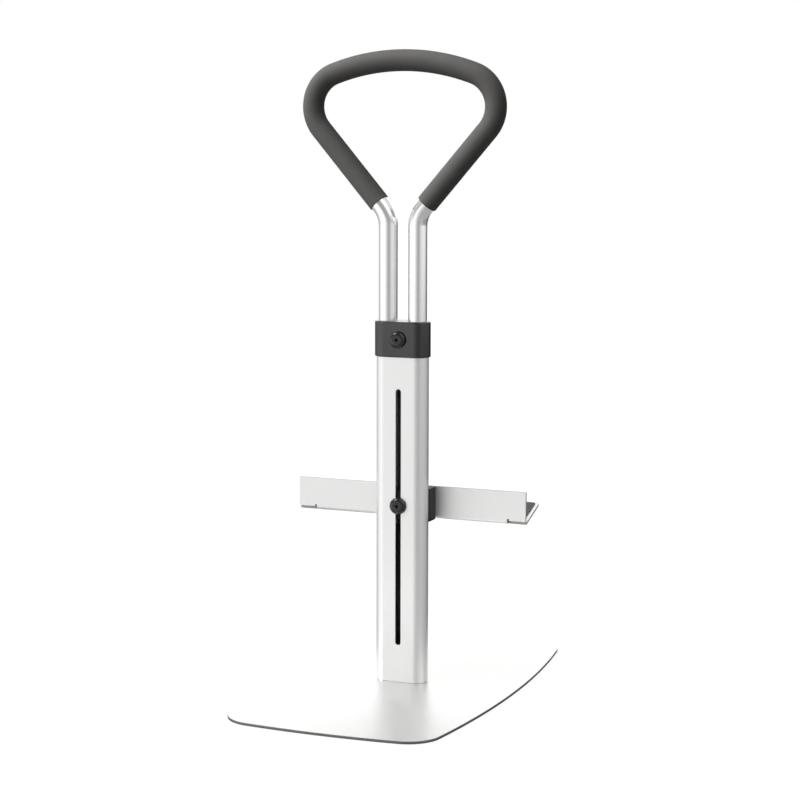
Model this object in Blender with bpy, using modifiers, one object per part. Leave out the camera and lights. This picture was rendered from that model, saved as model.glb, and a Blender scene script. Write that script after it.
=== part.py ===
"""Standing support handle, modelled in metres at its real size.

A bent tube handle slides in an extruded column, which stands on a floor plate. A wedge clamp behind
the collar holds the handle at its height, and a screw in the column's slot holds the bracket.
The column's axis is world Z, the front faces -Y, and the floor is the plane Z = 0.
"""
import math

import bmesh
import bpy
from mathutils import Vector

# Gaps that the pieces keep to each other
FIT_GAP = 0.0003
SLIDE_GAP = 0.0007
WELD = 0.00001

# Floor plate: anodised sheet whose four sides bow outwards, on thin pads
PLATE_WIDTH = 0.354
PLATE_LENGTH = 0.605
PLATE_THICKNESS = 0.004
PLATE_SIDE_RADIUS = 1.75
PLATE_END_RADIUS = 1.15
PLATE_CORNER_RADIUS = 0.050
PLATE_EDGE_ROUNDING = 0.0012
FLOOR_PAD_DIAMETER = 0.036
FLOOR_PAD_THICKNESS = 0.001
FLOOR_PAD_INSET_X = 0.050
FLOOR_PAD_INSET_Y = 0.048

# Handle: one bent tube with two parallel legs and a rubber sleeve round its loop
TUBE_DIAMETER = 0.028
TUBE_WALL = 0.002
LEG_SPACING = 0.046
LEG_BEND_RADIUS = 0.042
FLARE_ANGLE = math.radians(41)
CORNER_RADIUS = 0.050
CROWN_RADIUS = 0.320
LOOP_HALF_WIDTH = 0.141
LEG_IN_COLUMN = 0.300
HANDLE_SETTING = 0.138
GRIP_THICKNESS = 0.0013
GRIP_START = 0.0055
PLUG_STUB_LENGTH = 0.020
PLUG_RIM_THICKNESS = 0.003

# Column: extruded section with a round channel for each leg and a wide channel between them
COLUMN_LENGTH = 0.531
COLUMN_WALL = 0.0027
RIB_OFFSET = 0.010
SLOT_CLEARANCE = 0.0002
SLOT_ABOVE_FOOT = 0.0555
SLOT_BELOW_TOP = 0.095
FOOT_BLOCK_HEIGHT = 0.038
FOOT_SCREW_HEIGHT = 0.020

# Collar and the wedge clamp inside it
COLLAR_WALL = 0.0022
COLLAR_HEIGHT = 0.052
COLLAR_TOP_WALL = 0.003
COLLAR_ROUNDING = 0.0018
WEDGE_INSET = 0.006
WEDGE_GAP = 0.003

# Bracket: bent sheet with a flange behind the column and a tongue that reaches back
SHEET = 0.004
BEND_RADIUS = 0.001
BRACKET_SETTING = 0.264
BRACKET_WIDTH = 0.361
FLANGE_HEIGHT = 0.0485
TONGUE_DEPTH = 0.159
TONGUE_TAPER = 0.0325
TONGUE_CORNER_RADIUS = 0.006
EAR_LENGTH = 0.0285
RELIEF_WIDTH = 0.003
RELIEF_DEPTH = 0.0025
TONGUE_PAD_THICKNESS = 0.0015
TONGUE_PAD_INSET = 0.005
SADDLE_DEPTH = 0.0135
SADDLE_CHEEK_WALL = 0.001
SADDLE_CHEEK_REACH = 0.013
SADDLE_ROUNDING = 0.003
SADDLE_SCREW_SPACING = 0.056
SLIDER_HEIGHT = 0.040
SLIDER_ROUNDING = 0.0007

# Screws: shank diameters, and heads as diameter and height
CLAMP_SHANK = 0.008
CLAMP_HEAD_DIAMETER = 0.025
CLAMP_HEAD_HEIGHT = 0.0065
CLAMP_HEAD_RIM = 0.0014
CLAMP_HEAD_FLAT = 0.012
CLAMP_SOCKET_WIDTH = 0.005
CLAMP_SOCKET_DEPTH = 0.004
NUT_WIDTH = 0.013
NUT_HEIGHT = 0.008
NUT_FLANGE_DIAMETER = 0.017
NUT_FLANGE_THICKNESS = 0.0018
THREAD_BEYOND_NUT = 0.002
PLATE_SCREW_SHANK = 0.008
PLATE_SCREW_RIM = 0.0005
PLATE_SCREW_LENGTH = 0.028
PLATE_SOCKET_WIDTH = 0.005
PLATE_SOCKET_DEPTH = 0.0025
SMALL_SCREW_SHANK = 0.005
SMALL_SCREW_HEAD = 0.0095
SMALL_SCREW_HEAD_HEIGHT = 0.0027
SMALL_SCREW_LENGTH = 0.010
SMALL_SOCKET_WIDTH = 0.003
SMALL_SOCKET_DEPTH = 0.0015

# Smoothness of round shapes: the largest turn and the largest error of one step along an arc
ARC_STEP = math.radians(11.25)
CHORD_ERROR = 0.00025
TUBE_SIDES = 20
ROUND_SIDES = 24
SMALL_SIDES = 16

# Sizes that follow from the ones above
LEG_X = LEG_SPACING / 2
TUBE_RADIUS = TUBE_DIAMETER / 2
CHANNEL_RADIUS = TUBE_RADIUS + FIT_GAP
COLUMN_DEPTH = 2 * (CHANNEL_RADIUS + COLUMN_WALL)
COLUMN_WIDTH = COLUMN_DEPTH + LEG_SPACING
COLUMN_FRONT = -COLUMN_DEPTH / 2
SLOT_WIDTH = CLAMP_SHANK + 2 * SLOT_CLEARANCE
SLOT_LENGTH = COLUMN_LENGTH - SLOT_ABOVE_FOOT - SLOT_BELOW_TOP
FOOT_SCREW_X = LEG_X / 2
PLATE_BOTTOM = FLOOR_PAD_THICKNESS + FIT_GAP
PLATE_TOP = PLATE_BOTTOM + PLATE_THICKNESS
COLUMN_BOTTOM = PLATE_TOP + FIT_GAP
COLLAR_TOP = COLUMN_BOTTOM + COLUMN_LENGTH + FIT_GAP + COLLAR_TOP_WALL
COLLAR_MIDDLE = COLLAR_TOP - COLLAR_HEIGHT / 2
WEDGE_HEIGHT = COLLAR_HEIGHT - 2 * WEDGE_INSET
COLLAR_WIDTH = COLUMN_WIDTH + 2 * (FIT_GAP + COLLAR_WALL)
COLLAR_DEPTH = COLUMN_DEPTH + 2 * (FIT_GAP + COLLAR_WALL)
BRACKET_LEVEL = COLUMN_BOTTOM + BRACKET_SETTING
HANDLE_LEVEL = COLLAR_TOP + HANDLE_SETTING
LEG_LENGTH = HANDLE_SETTING + LEG_IN_COLUMN
SADDLE_FRONT = COLUMN_DEPTH / 2 - SADDLE_CHEEK_REACH
SADDLE_REAR = COLUMN_DEPTH / 2 + SADDLE_DEPTH
FLANGE_FRONT = SADDLE_REAR + FIT_GAP
FLANGE_REAR = FLANGE_FRONT + SHEET
FLANGE_BOTTOM = -FLANGE_HEIGHT / 2
BEND_OUTSIDE = BEND_RADIUS + SHEET
BEND_END = BRACKET_WIDTH / 2 - EAR_LENGTH
CLAMP_HOLE = CLAMP_SHANK / 2 + FIT_GAP
SMALL_HOLE = SMALL_SCREW_SHANK / 2 + FIT_GAP
PLATE_SCREW_HOLE = PLATE_SCREW_SHANK / 2 + FIT_GAP
PLATE_SCREW_SINK = PLATE_THICKNESS - FIT_GAP

ALONG_Y = (math.pi / 2, 0, 0)
ALONG_X = (math.pi / 2, 0, math.pi / 2)
FROM_BEHIND = (-math.pi / 2, 0, 0)
FROM_BELOW = (math.pi, 0, 0)


def clear_scene():
    for thing in list(bpy.data.objects):
        bpy.data.objects.remove(thing)


def new_collection(name):
    group = bpy.data.collections.new(name)
    bpy.context.scene.collection.children.link(group)
    return group


def new_material(name, colour, roughness, metallic=0.0):
    material = bpy.data.materials.new(name)
    material.use_nodes = True
    shader = material.node_tree.nodes["Principled BSDF"]
    shader.inputs["Base Color"].default_value = (*colour, 1.0)
    shader.inputs["Roughness"].default_value = roughness
    shader.inputs["Metallic"].default_value = metallic
    return material


clear_scene()
PIECES = new_collection("standing_support_handle")
CUTTERS = new_collection("cutters")


# Shapes

def arc(centre, radius, start, end):
    """Points on a circle's arc, both ends included."""
    step = min(ARC_STEP, 2 * math.acos(1 - CHORD_ERROR / radius))
    count = max(1, math.ceil(abs(end - start) / step - 1e-6))
    angles = [start + (end - start) * i / count for i in range(count + 1)]
    return [(centre[0] + radius * math.cos(a), centre[1] + radius * math.sin(a)) for a in angles]


def obround(width, depth):
    """Outline with half-round ends, its long side along X."""
    end = (width - depth) / 2
    right = arc((end, 0), depth / 2, -math.pi / 2, math.pi / 2)
    left = arc((-end, 0), depth / 2, math.pi / 2, 3 * math.pi / 2)
    return right + left


def mirrored(points):
    """The outline that a run of points at X >= 0 makes with its mirror image."""
    image = [(-x, y) for x, y in reversed(points) if x > WELD]
    return points + image


def finish_mesh(mesh):
    """Welds loose caps, merges coplanar faces and shades the round stretches smooth."""
    bm = bmesh.new()
    bm.from_mesh(mesh)
    bmesh.ops.remove_doubles(bm, verts=bm.verts, dist=WELD)
    bmesh.ops.dissolve_limit(bm, angle_limit=math.radians(0.1), verts=bm.verts, edges=bm.edges)
    bm.to_mesh(mesh)
    bm.free()
    mesh.shade_smooth()
    mesh.set_sharp_from_angle(angle=math.radians(35))


def add_object(name, mesh, material, parent, location=(0, 0, 0), rotation=(0, 0, 0)):
    """A named piece, or a cutter where there is no material, placed under its parent."""
    thing = bpy.data.objects.new(name, mesh)
    thing.location = location
    thing.rotation_euler = rotation
    thing.parent = parent
    if material is None:
        CUTTERS.objects.link(thing)
        thing.hide_render = True
        thing.display_type = "WIRE"
    else:
        PIECES.objects.link(thing)
        mesh.materials.append(material)
    return thing


def curve_mesh(name, curve):
    """The mesh of a curve's surface."""
    source = bpy.data.objects.new(name, curve)
    bpy.context.scene.collection.objects.link(source)
    graph = bpy.context.evaluated_depsgraph_get()
    mesh = bpy.data.meshes.new_from_object(source.evaluated_get(graph))
    mesh.name = name
    bpy.data.objects.remove(source)
    bpy.data.curves.remove(curve)
    finish_mesh(mesh)
    return mesh


def flat_mesh(name, loops, thickness):
    """A sheet or bar of any outline in local XY, with its thickness centred on local Z."""
    curve = bpy.data.curves.new(name, "CURVE")
    curve.dimensions = "2D"
    curve.fill_mode = "BOTH"
    curve.extrude = thickness / 2
    for loop in loops:
        spline = curve.splines.new("POLY")
        spline.points.add(len(loop) - 1)
        for point, (x, y) in zip(spline.points, loop):
            point.co = (x, y, 0, 1)
        spline.use_cyclic_u = True
    return curve_mesh(name, curve)


def pipe_mesh(name, path, radius):
    """The open wall of a tube whose centreline runs through path."""
    curve = bpy.data.curves.new(name, "CURVE")
    curve.dimensions = "3D"
    curve.bevel_depth = radius
    curve.bevel_resolution = TUBE_SIDES // 2 - 2
    spline = curve.splines.new("POLY")
    spline.points.add(len(path) - 1)
    for point, (x, z) in zip(spline.points, path):
        point.co = (x, 0, z, 1)
    return curve_mesh(name, curve)


def cone_mesh(name, radius, tip_radius, length, sides=ROUND_SIDES):
    """A cylinder, cone or prism centred on local Z, with its radius at the bottom."""
    mesh = bpy.data.meshes.new(name)
    bm = bmesh.new()
    bmesh.ops.create_cone(bm, cap_ends=True, segments=sides, radius1=radius, radius2=tip_radius, depth=length)
    bm.to_mesh(mesh)
    bm.free()
    mesh.shade_smooth()
    mesh.set_sharp_from_angle(angle=math.radians(35))
    return mesh


def box_mesh(name, size):
    mesh = bpy.data.meshes.new(name)
    bm = bmesh.new()
    bmesh.ops.create_cube(bm, size=1)
    bmesh.ops.scale(bm, vec=size, verts=bm.verts)
    bm.to_mesh(mesh)
    bm.free()
    return mesh


def profile_mesh(name, profile):
    """A turned piece's profile: radius and height, from the top of its axis down its outer side."""
    mesh = bpy.data.meshes.new(name)
    edges = [(i, i + 1) for i in range(len(profile) - 1)]
    mesh.from_pydata([(radius, 0, height) for radius, height in profile], edges, [])
    return mesh


# Modifiers

def turn(thing, steps=ROUND_SIDES):
    screw = thing.modifiers.new("turn", "SCREW")
    screw.axis = "Z"
    screw.steps = steps
    screw.render_steps = steps
    screw.use_merge_vertices = True
    screw.merge_threshold = WELD
    screw.use_normal_calculate = False
    screw.use_smooth_shade = True


def wall(thing, thickness):
    """Gives an open surface a wall on its inner side."""
    solidify = thing.modifiers.new("wall", "SOLIDIFY")
    solidify.thickness = thickness
    solidify.offset = -1
    solidify.use_even_offset = True


def round_edges(thing, width, segments=2, angle=50):
    bevel = thing.modifiers.new("rounding", "BEVEL")
    bevel.width = width
    bevel.segments = segments
    bevel.limit_method = "ANGLE"
    bevel.angle_limit = math.radians(angle)


def combine(thing, other, operation="DIFFERENCE"):
    boolean = thing.modifiers.new(f"{operation.lower()}_{other.name}", "BOOLEAN")
    boolean.operation = operation
    boolean.solver = "EXACT"
    boolean.object = other


def drill(thing, label, radius, length, location, rotation):
    """Cuts a round hole whose length is centred on its location."""
    mesh = cone_mesh(label, radius, radius, length)
    combine(thing, add_object(label, mesh, None, thing.parent, location, rotation))


def hex_recess(thing, label, width, depth, top):
    """Cuts a hexagon socket into the top of a screw that lies along its own Z."""
    radius = width / 2 / math.cos(math.pi / 6)
    mesh = cone_mesh(label, radius, radius, 2 * depth, sides=6)
    combine(thing, add_object(label, mesh, None, thing, (0, 0, top)))


# Outlines

def plate_outline():
    """Two long and two short bows, with rounded corners tangent to both."""
    side_centre = Vector((PLATE_WIDTH / 2 - PLATE_SIDE_RADIUS, 0))
    end_centre = Vector((0, PLATE_LENGTH / 2 - PLATE_END_RADIUS))
    to_side = PLATE_SIDE_RADIUS - PLATE_CORNER_RADIUS
    to_end = PLATE_END_RADIUS - PLATE_CORNER_RADIUS
    between = end_centre - side_centre
    along = (to_side ** 2 - to_end ** 2 + between.length_squared) / (2 * between.length)
    across = math.sqrt(to_side ** 2 - along ** 2)
    unit = between.normalized()
    corner = side_centre + unit * along + Vector((-unit.y, unit.x)) * across
    first = math.atan2(corner.y, corner.x - side_centre.x)
    last = math.atan2(corner.y - end_centre.y, corner.x)
    side = arc(side_centre, PLATE_SIDE_RADIUS, 0, first)
    end = arc(end_centre, PLATE_END_RADIUS, last, math.pi / 2)
    quarter = side[:-1] + arc(corner, PLATE_CORNER_RADIUS, first, last) + end[1:]
    rear = mirrored(quarter)
    front = [(x, -y) for x, y in reversed(rear) if y > WELD]
    return rear + front


def channel_outline(inset=0.0):
    """The column's bore: a round channel for each leg and the wide one between them."""
    radius = CHANNEL_RADIUS - inset
    rib = LEG_X - RIB_OFFSET - inset
    opening = math.acos((rib - LEG_X) / radius)
    right = arc((LEG_X, 0), radius, -opening, opening)
    half = [(rib, -radius), *right, (rib, radius)]
    return half + [(-x, -y) for x, y in half]


def wedge_outline():
    """The clamp's front wedge: its flanks follow the two legs and narrow towards the rear."""
    radius = TUBE_RADIUS + FIT_GAP
    rib = LEG_X - RIB_OFFSET - FIT_GAP
    wide = math.acos((rib - LEG_X) / radius)
    narrow = math.pi - math.asin(WEDGE_GAP / 2 / radius)
    flank = arc((LEG_X, 0), radius, -wide, -narrow)
    return mirrored([(rib, FIT_GAP - CHANNEL_RADIUS), *flank])


def tongue_side(inset, front):
    """The tongue's right side seen from above, from its front edge round to its rear corner."""
    half_front = BRACKET_WIDTH / 2
    start = FLANGE_FRONT + BEND_OUTSIDE
    rear = FLANGE_FRONT + TONGUE_DEPTH
    taper = math.atan2(TONGUE_TAPER, rear - start)
    lean = inset / math.cos(taper)
    slope = math.tan(taper)
    radius = TONGUE_CORNER_RADIUS
    edge_rear = rear - inset
    corner_y = edge_rear - radius
    side_at = half_front - lean - (corner_y - start) * slope
    corner = (side_at - radius / math.cos(taper), corner_y)
    side_x = half_front - lean - max(front - start, 0) * slope
    return [(side_x, front)] + arc(corner, radius, taper, math.pi / 2)


def angle_profile():
    """The bracket's section: front to rear along X and upwards along Y."""
    top = FLANGE_HEIGHT
    outside = arc((BEND_OUTSIDE, BEND_OUTSIDE), BEND_OUTSIDE, math.pi, 1.5 * math.pi)
    inside = arc((BEND_OUTSIDE, BEND_OUTSIDE), BEND_RADIUS, 1.5 * math.pi, math.pi)
    return [(0, top), *outside, (TONGUE_DEPTH, 0), (TONGUE_DEPTH, SHEET), *inside, (SHEET, top)]


def half_loop(end):
    """The handle's centreline from its crown down one side, to the grip's end or the leg's end."""
    sine = math.sin(FLARE_ANGLE)
    cosine = math.cos(FLARE_ANGLE)
    bend_end = Vector((LEG_X + LEG_BEND_RADIUS * (1 - cosine), LEG_BEND_RADIUS * sine))
    flare = Vector((sine, cosine))
    corner_x = LOOP_HALF_WIDTH - CORNER_RADIUS
    flare_length = (corner_x + CORNER_RADIUS * cosine - bend_end.x) / sine
    corner_z = bend_end.y + flare_length * cosine + CORNER_RADIUS * sine
    reach = CROWN_RADIUS - CORNER_RADIUS
    tilt = math.acos(corner_x / reach)
    crown_z = corner_z - reach * math.sin(tilt)
    path = arc((0, crown_z), CROWN_RADIUS, math.pi / 2, tilt)
    path += arc((corner_x, corner_z), CORNER_RADIUS, tilt, -FLARE_ANGLE)[1:]
    if end == "grip":
        grip_end = bend_end + flare * GRIP_START
        return path + [tuple(grip_end)]
    bend_centre = (LEG_X + LEG_BEND_RADIUS, 0)
    path += arc(bend_centre, LEG_BEND_RADIUS, math.pi - FLARE_ANGLE, math.pi)
    return path + [(LEG_X, -LEG_LENGTH)]


def whole_loop(end):
    half = half_loop(end)
    return [(-x, z) for x, z in reversed(half[1:])] + half


def domed_head(shank_length):
    """The clamp screws' profile, with the underside of the head at height 0."""
    flat = CLAMP_HEAD_FLAT / 2
    dome_width = CLAMP_HEAD_DIAMETER / 2 - flat
    dome_height = CLAMP_HEAD_HEIGHT - CLAMP_HEAD_RIM
    steps = 5
    dome = []
    for i in range(steps + 1):
        angle = math.pi / 2 * i / steps
        dome.append((flat + dome_width * math.sin(angle), CLAMP_HEAD_RIM + dome_height * math.cos(angle)))
    shank = CLAMP_SHANK / 2
    return [(0, CLAMP_HEAD_HEIGHT), *dome, (CLAMP_HEAD_DIAMETER / 2, 0), (shank, 0),
            (shank, -shank_length), (0, -shank_length)]


def countersunk(length, gap=0.0, over=0.0):
    """A countersunk screw's profile, its head's flat top at height 0, or its hole's with a gap round it."""
    shank = PLATE_SCREW_SHANK / 2 + gap
    head = shank + PLATE_SCREW_SINK - PLATE_SCREW_RIM
    rim = PLATE_SCREW_RIM + gap
    sink = PLATE_SCREW_SINK + gap
    return [(0, over), (head, over), (head, -rim), (shank, -sink), (shank, -length - over),
            (0, -length - over)]


def button_head(length):
    """A small pan-head screw's profile, with the underside of the head at height 0."""
    head = SMALL_SCREW_HEAD / 2
    top = SMALL_SCREW_HEAD_HEIGHT
    shank = SMALL_SCREW_SHANK / 2
    return [(0, top), (head * 0.6, top), (head * 0.9, top * 0.6), (head, top * 0.2), (head, 0), (shank, 0),
            (shank, -length), (0, -length)]


# Materials

ANODISED_SHEET = new_material("anodised_sheet", (0.80, 0.80, 0.80), 0.35, 1.0)
ANODISED_ALUMINIUM = new_material("anodised_aluminium", (0.80, 0.80, 0.80), 0.32, 1.0)
BRUSHED_TUBE = new_material("brushed_tube", (0.88, 0.88, 0.87), 0.20, 1.0)
BLACK_ANODISED = new_material("black_anodised", (0.02, 0.02, 0.02), 0.25)
BLACK_PLASTIC = new_material("black_plastic", (0.016, 0.016, 0.016), 0.50)
GRIP_RUBBER = new_material("grip_rubber", (0.11, 0.108, 0.105), 0.62)
PAD_RUBBER = new_material("pad_rubber", (0.035, 0.035, 0.035), 0.80)
BLACKENED_STEEL = new_material("blackened_steel", (0.012, 0.012, 0.012), 0.25)
CLEAR_ZINC = new_material("clear_zinc", (0.66, 0.67, 0.69), 0.38, 1.0)


# Floor plate, its pads and its screws

def make_floor_plate():
    mesh = flat_mesh("base_plate", [plate_outline()], PLATE_THICKNESS)
    plate = add_object("base_plate", mesh, ANODISED_SHEET, None, (0, 0, PLATE_BOTTOM + PLATE_THICKNESS / 2))
    round_edges(plate, PLATE_EDGE_ROUNDING)
    for number, x in enumerate((-LEG_X, 0, LEG_X), 1):
        hole = profile_mesh("plate_screw_hole", countersunk(PLATE_THICKNESS, FIT_GAP, PLATE_THICKNESS))
        cutter = add_object(f"plate_screw_hole_{number}", hole, None, None, (x, 0, PLATE_BOTTOM), FROM_BELOW)
        turn(cutter)
        combine(plate, cutter)
        screw_mesh = profile_mesh(f"plate_screw_{number}", countersunk(PLATE_SCREW_LENGTH))
        screw = add_object(f"plate_screw_{number}", screw_mesh, CLEAR_ZINC, None, (x, 0, PLATE_BOTTOM),
                           FROM_BELOW)
        turn(screw)
        hex_recess(screw, f"plate_screw_socket_{number}", PLATE_SOCKET_WIDTH, PLATE_SOCKET_DEPTH, 0)


def make_floor_pads():
    across = PLATE_WIDTH / 2 - FLOOR_PAD_INSET_X
    along = PLATE_LENGTH / 2 - FLOOR_PAD_INSET_Y
    places = [(x * across, y * along) for y in (-1, 0, 1) for x in (-1, 1)]
    radius = FLOOR_PAD_DIAMETER / 2
    for number, (x, y) in enumerate(places, 1):
        mesh = cone_mesh(f"floor_pad_{number}", radius, radius, FLOOR_PAD_THICKNESS)
        add_object(f"floor_pad_{number}", mesh, PAD_RUBBER, None, (x, y, FLOOR_PAD_THICKNESS / 2))


# Column, with the block that ties it to the plate

def make_column():
    middle = COLUMN_BOTTOM + COLUMN_LENGTH / 2
    loops = [obround(COLUMN_WIDTH, COLUMN_DEPTH), channel_outline()]
    mesh = flat_mesh("column", loops, COLUMN_LENGTH)
    column = add_object("column", mesh, ANODISED_ALUMINIUM, None, (0, 0, middle))
    slot_loop = [(y, x) for x, y in obround(SLOT_LENGTH, SLOT_WIDTH)]
    slot_mesh = flat_mesh("slot_cutter", [slot_loop], 2 * COLUMN_DEPTH)
    slot_middle = COLUMN_BOTTOM + SLOT_ABOVE_FOOT + SLOT_LENGTH / 2
    combine(column, add_object("slot_cutter", slot_mesh, None, None, (0, 0, slot_middle), ALONG_Y))
    drill(column, "column_clamp_hole", CLAMP_HOLE, COLUMN_DEPTH, (0, COLUMN_FRONT, COLLAR_MIDDLE), ALONG_Y)
    level = COLUMN_BOTTOM + FOOT_SCREW_HEIGHT
    for side in (-1, 1):
        place = (side * FOOT_SCREW_X, COLUMN_DEPTH / 2, level)
        label = "left" if side < 0 else "right"
        drill(column, f"column_foot_hole_{label}", SMALL_HOLE, COLUMN_DEPTH / 2, place, ALONG_Y)


def make_foot_block():
    middle = COLUMN_BOTTOM + FOOT_BLOCK_HEIGHT / 2
    mesh = flat_mesh("foot_block", [channel_outline(FIT_GAP)], FOOT_BLOCK_HEIGHT)
    block = add_object("foot_block", mesh, CLEAR_ZINC, None, (0, 0, middle))
    depth = PLATE_SCREW_LENGTH - PLATE_THICKNESS
    for number, x in enumerate((-LEG_X, 0, LEG_X), 1):
        place = (x, 0, COLUMN_BOTTOM)
        drill(block, f"foot_block_hole_{number}", PLATE_SCREW_HOLE, 2 * depth, place, (0, 0, 0))
    level = COLUMN_BOTTOM + FOOT_SCREW_HEIGHT
    length = SMALL_SCREW_LENGTH + FIT_GAP
    for side in (-1, 1):
        label = "left" if side < 0 else "right"
        x = side * FOOT_SCREW_X
        rear = (x, COLUMN_DEPTH / 2, level)
        drill(block, f"foot_block_side_hole_{label}", SMALL_HOLE, 2 * length, rear, ALONG_Y)
        mesh = profile_mesh(f"foot_screw_{label}", button_head(SMALL_SCREW_LENGTH))
        place = (x, COLUMN_DEPTH / 2 + FIT_GAP, level)
        screw = add_object(f"foot_screw_{label}", mesh, BLACKENED_STEEL, None, place, FROM_BEHIND)
        turn(screw, SMALL_SIDES)
        hex_recess(screw, f"foot_screw_socket_{label}", SMALL_SOCKET_WIDTH, SMALL_SOCKET_DEPTH,
                   SMALL_SCREW_HEAD_HEIGHT)


# Collar and the wedge clamp that its screw draws together

def make_collar():
    middle = COLLAR_TOP - COLLAR_HEIGHT / 2
    mesh = flat_mesh("collar", [obround(COLLAR_WIDTH, COLLAR_DEPTH)], COLLAR_HEIGHT)
    collar = add_object("collar", mesh, BLACK_ANODISED, None, (0, 0, middle))
    round_edges(collar, COLLAR_ROUNDING)
    inside = obround(COLUMN_WIDTH + 2 * FIT_GAP, COLUMN_DEPTH + 2 * FIT_GAP)
    inside_mesh = flat_mesh("collar_inside", [inside], COLLAR_HEIGHT)
    below = (0, 0, middle - COLLAR_TOP_WALL)
    combine(collar, add_object("collar_inside", inside_mesh, None, None, below))
    for side in (-1, 1):
        label = "left" if side < 0 else "right"
        place = (side * LEG_X, 0, COLLAR_TOP)
        drill(collar, f"collar_leg_hole_{label}", CHANNEL_RADIUS, 4 * COLLAR_TOP_WALL, place, (0, 0, 0))
    drill(collar, "collar_clamp_hole", CLAMP_HOLE, COLLAR_DEPTH / 2, (0, -COLLAR_DEPTH / 2, middle), ALONG_Y)


def make_wedges():
    outline = wedge_outline()
    for name, side in (("clamp_wedge_front", 1), ("clamp_wedge_rear", -1)):
        loop = [(x, side * y) for x, y in outline]
        mesh = flat_mesh(name, [loop], WEDGE_HEIGHT)
        wedge = add_object(name, mesh, CLEAR_ZINC, None, (0, 0, COLLAR_MIDDLE))
        drill(wedge, f"{name}_hole", CLAMP_HOLE, 2 * COLUMN_DEPTH, (0, 0, COLLAR_MIDDLE), ALONG_Y)


def make_clamp_screw(name, parent, head_seat, level, tip):
    """A domed screw along Y whose head rests at head_seat and whose shank ends at tip."""
    mesh = profile_mesh(name, domed_head(tip - head_seat))
    screw = add_object(name, mesh, BLACKENED_STEEL, parent, (0, head_seat, level), ALONG_Y)
    turn(screw)
    hex_recess(screw, f"{name}_socket", CLAMP_SOCKET_WIDTH, CLAMP_SOCKET_DEPTH, CLAMP_HEAD_HEIGHT)


# Handle

def make_handle(slide):
    tube_mesh = pipe_mesh("handle_tube", whole_loop("leg"), TUBE_RADIUS)
    tube = add_object("handle_tube", tube_mesh, BRUSHED_TUBE, slide)
    wall(tube, TUBE_WALL)
    grip_radius = TUBE_RADIUS + FIT_GAP + GRIP_THICKNESS
    grip_mesh = pipe_mesh("grip_sleeve", whole_loop("grip"), grip_radius)
    grip = add_object("grip_sleeve", grip_mesh, GRIP_RUBBER, slide)
    wall(grip, GRIP_THICKNESS)
    stub = TUBE_RADIUS - TUBE_WALL - FIT_GAP
    rim = TUBE_RADIUS - FIT_GAP
    profile = [(0, PLUG_STUB_LENGTH), (stub, PLUG_STUB_LENGTH), (stub, 0), (rim, 0),
               (rim, -PLUG_RIM_THICKNESS), (0, -PLUG_RIM_THICKNESS)]
    for side in (-1, 1):
        label = "left" if side < 0 else "right"
        mesh = profile_mesh(f"leg_plug_{label}", profile)
        place = (side * LEG_X, 0, -LEG_LENGTH - FIT_GAP)
        plug = add_object(f"leg_plug_{label}", mesh, BLACK_PLASTIC, slide, place)
        turn(plug, TUBE_SIDES)


# Bracket group

def make_bracket(slide):
    section = angle_profile()
    mesh = flat_mesh("bracket", [section], BRACKET_WIDTH)
    bracket = add_object("bracket", mesh, ANODISED_SHEET, slide, (0, FLANGE_FRONT, FLANGE_BOTTOM), ALONG_X)
    bend_end = FLANGE_FRONT + BEND_OUTSIDE
    beside = BRACKET_WIDTH / 2 + SHEET
    outline = mirrored([(beside, FLANGE_FRONT - SHEET), (beside, bend_end), *tongue_side(0.0, bend_end)])
    blank_mesh = flat_mesh("bracket_blank", [outline], 4 * FLANGE_HEIGHT)
    combine(bracket, add_object("bracket_blank", blank_mesh, None, slide), "INTERSECT")
    for side in (-1, 1):
        label = "left" if side < 0 else "right"
        cut_corner(bracket, slide, f"bend_end_{label}", side * BEND_END, side * BRACKET_WIDTH, 0.0)
        notch_end = side * (BEND_END + RELIEF_WIDTH)
        cut_corner(bracket, slide, f"bend_relief_{label}", side * BEND_END, notch_end, RELIEF_DEPTH)
        place = (side * SADDLE_SCREW_SPACING / 2, FLANGE_FRONT, 0)
        drill(bracket, f"flange_hole_{label}", SMALL_HOLE, 4 * SHEET, place, ALONG_Y)
    drill(bracket, "flange_clamp_hole", CLAMP_HOLE, 4 * SHEET, (0, FLANGE_FRONT, 0), ALONG_Y)


def cut_corner(bracket, slide, label, start, end, extra):
    """Takes the bend away between two places along the flange, and a little more beyond it."""
    reach = BEND_OUTSIDE + extra
    size = (abs(end - start), reach + SHEET, reach + SHEET)
    centre = ((start + end) / 2, FLANGE_FRONT + (reach - SHEET) / 2, FLANGE_BOTTOM + (reach - SHEET) / 2)
    combine(bracket, add_object(label, box_mesh(label, size), None, slide, centre))


def make_tongue_pad(slide):
    outline = mirrored(tongue_side(TONGUE_PAD_INSET, FLANGE_REAR + TONGUE_PAD_INSET))
    mesh = flat_mesh("tongue_pad", [outline], TONGUE_PAD_THICKNESS)
    level = FLANGE_BOTTOM + SHEET + FIT_GAP + TONGUE_PAD_THICKNESS / 2
    add_object("tongue_pad", mesh, PAD_RUBBER, slide, (0, 0, level))


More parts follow.
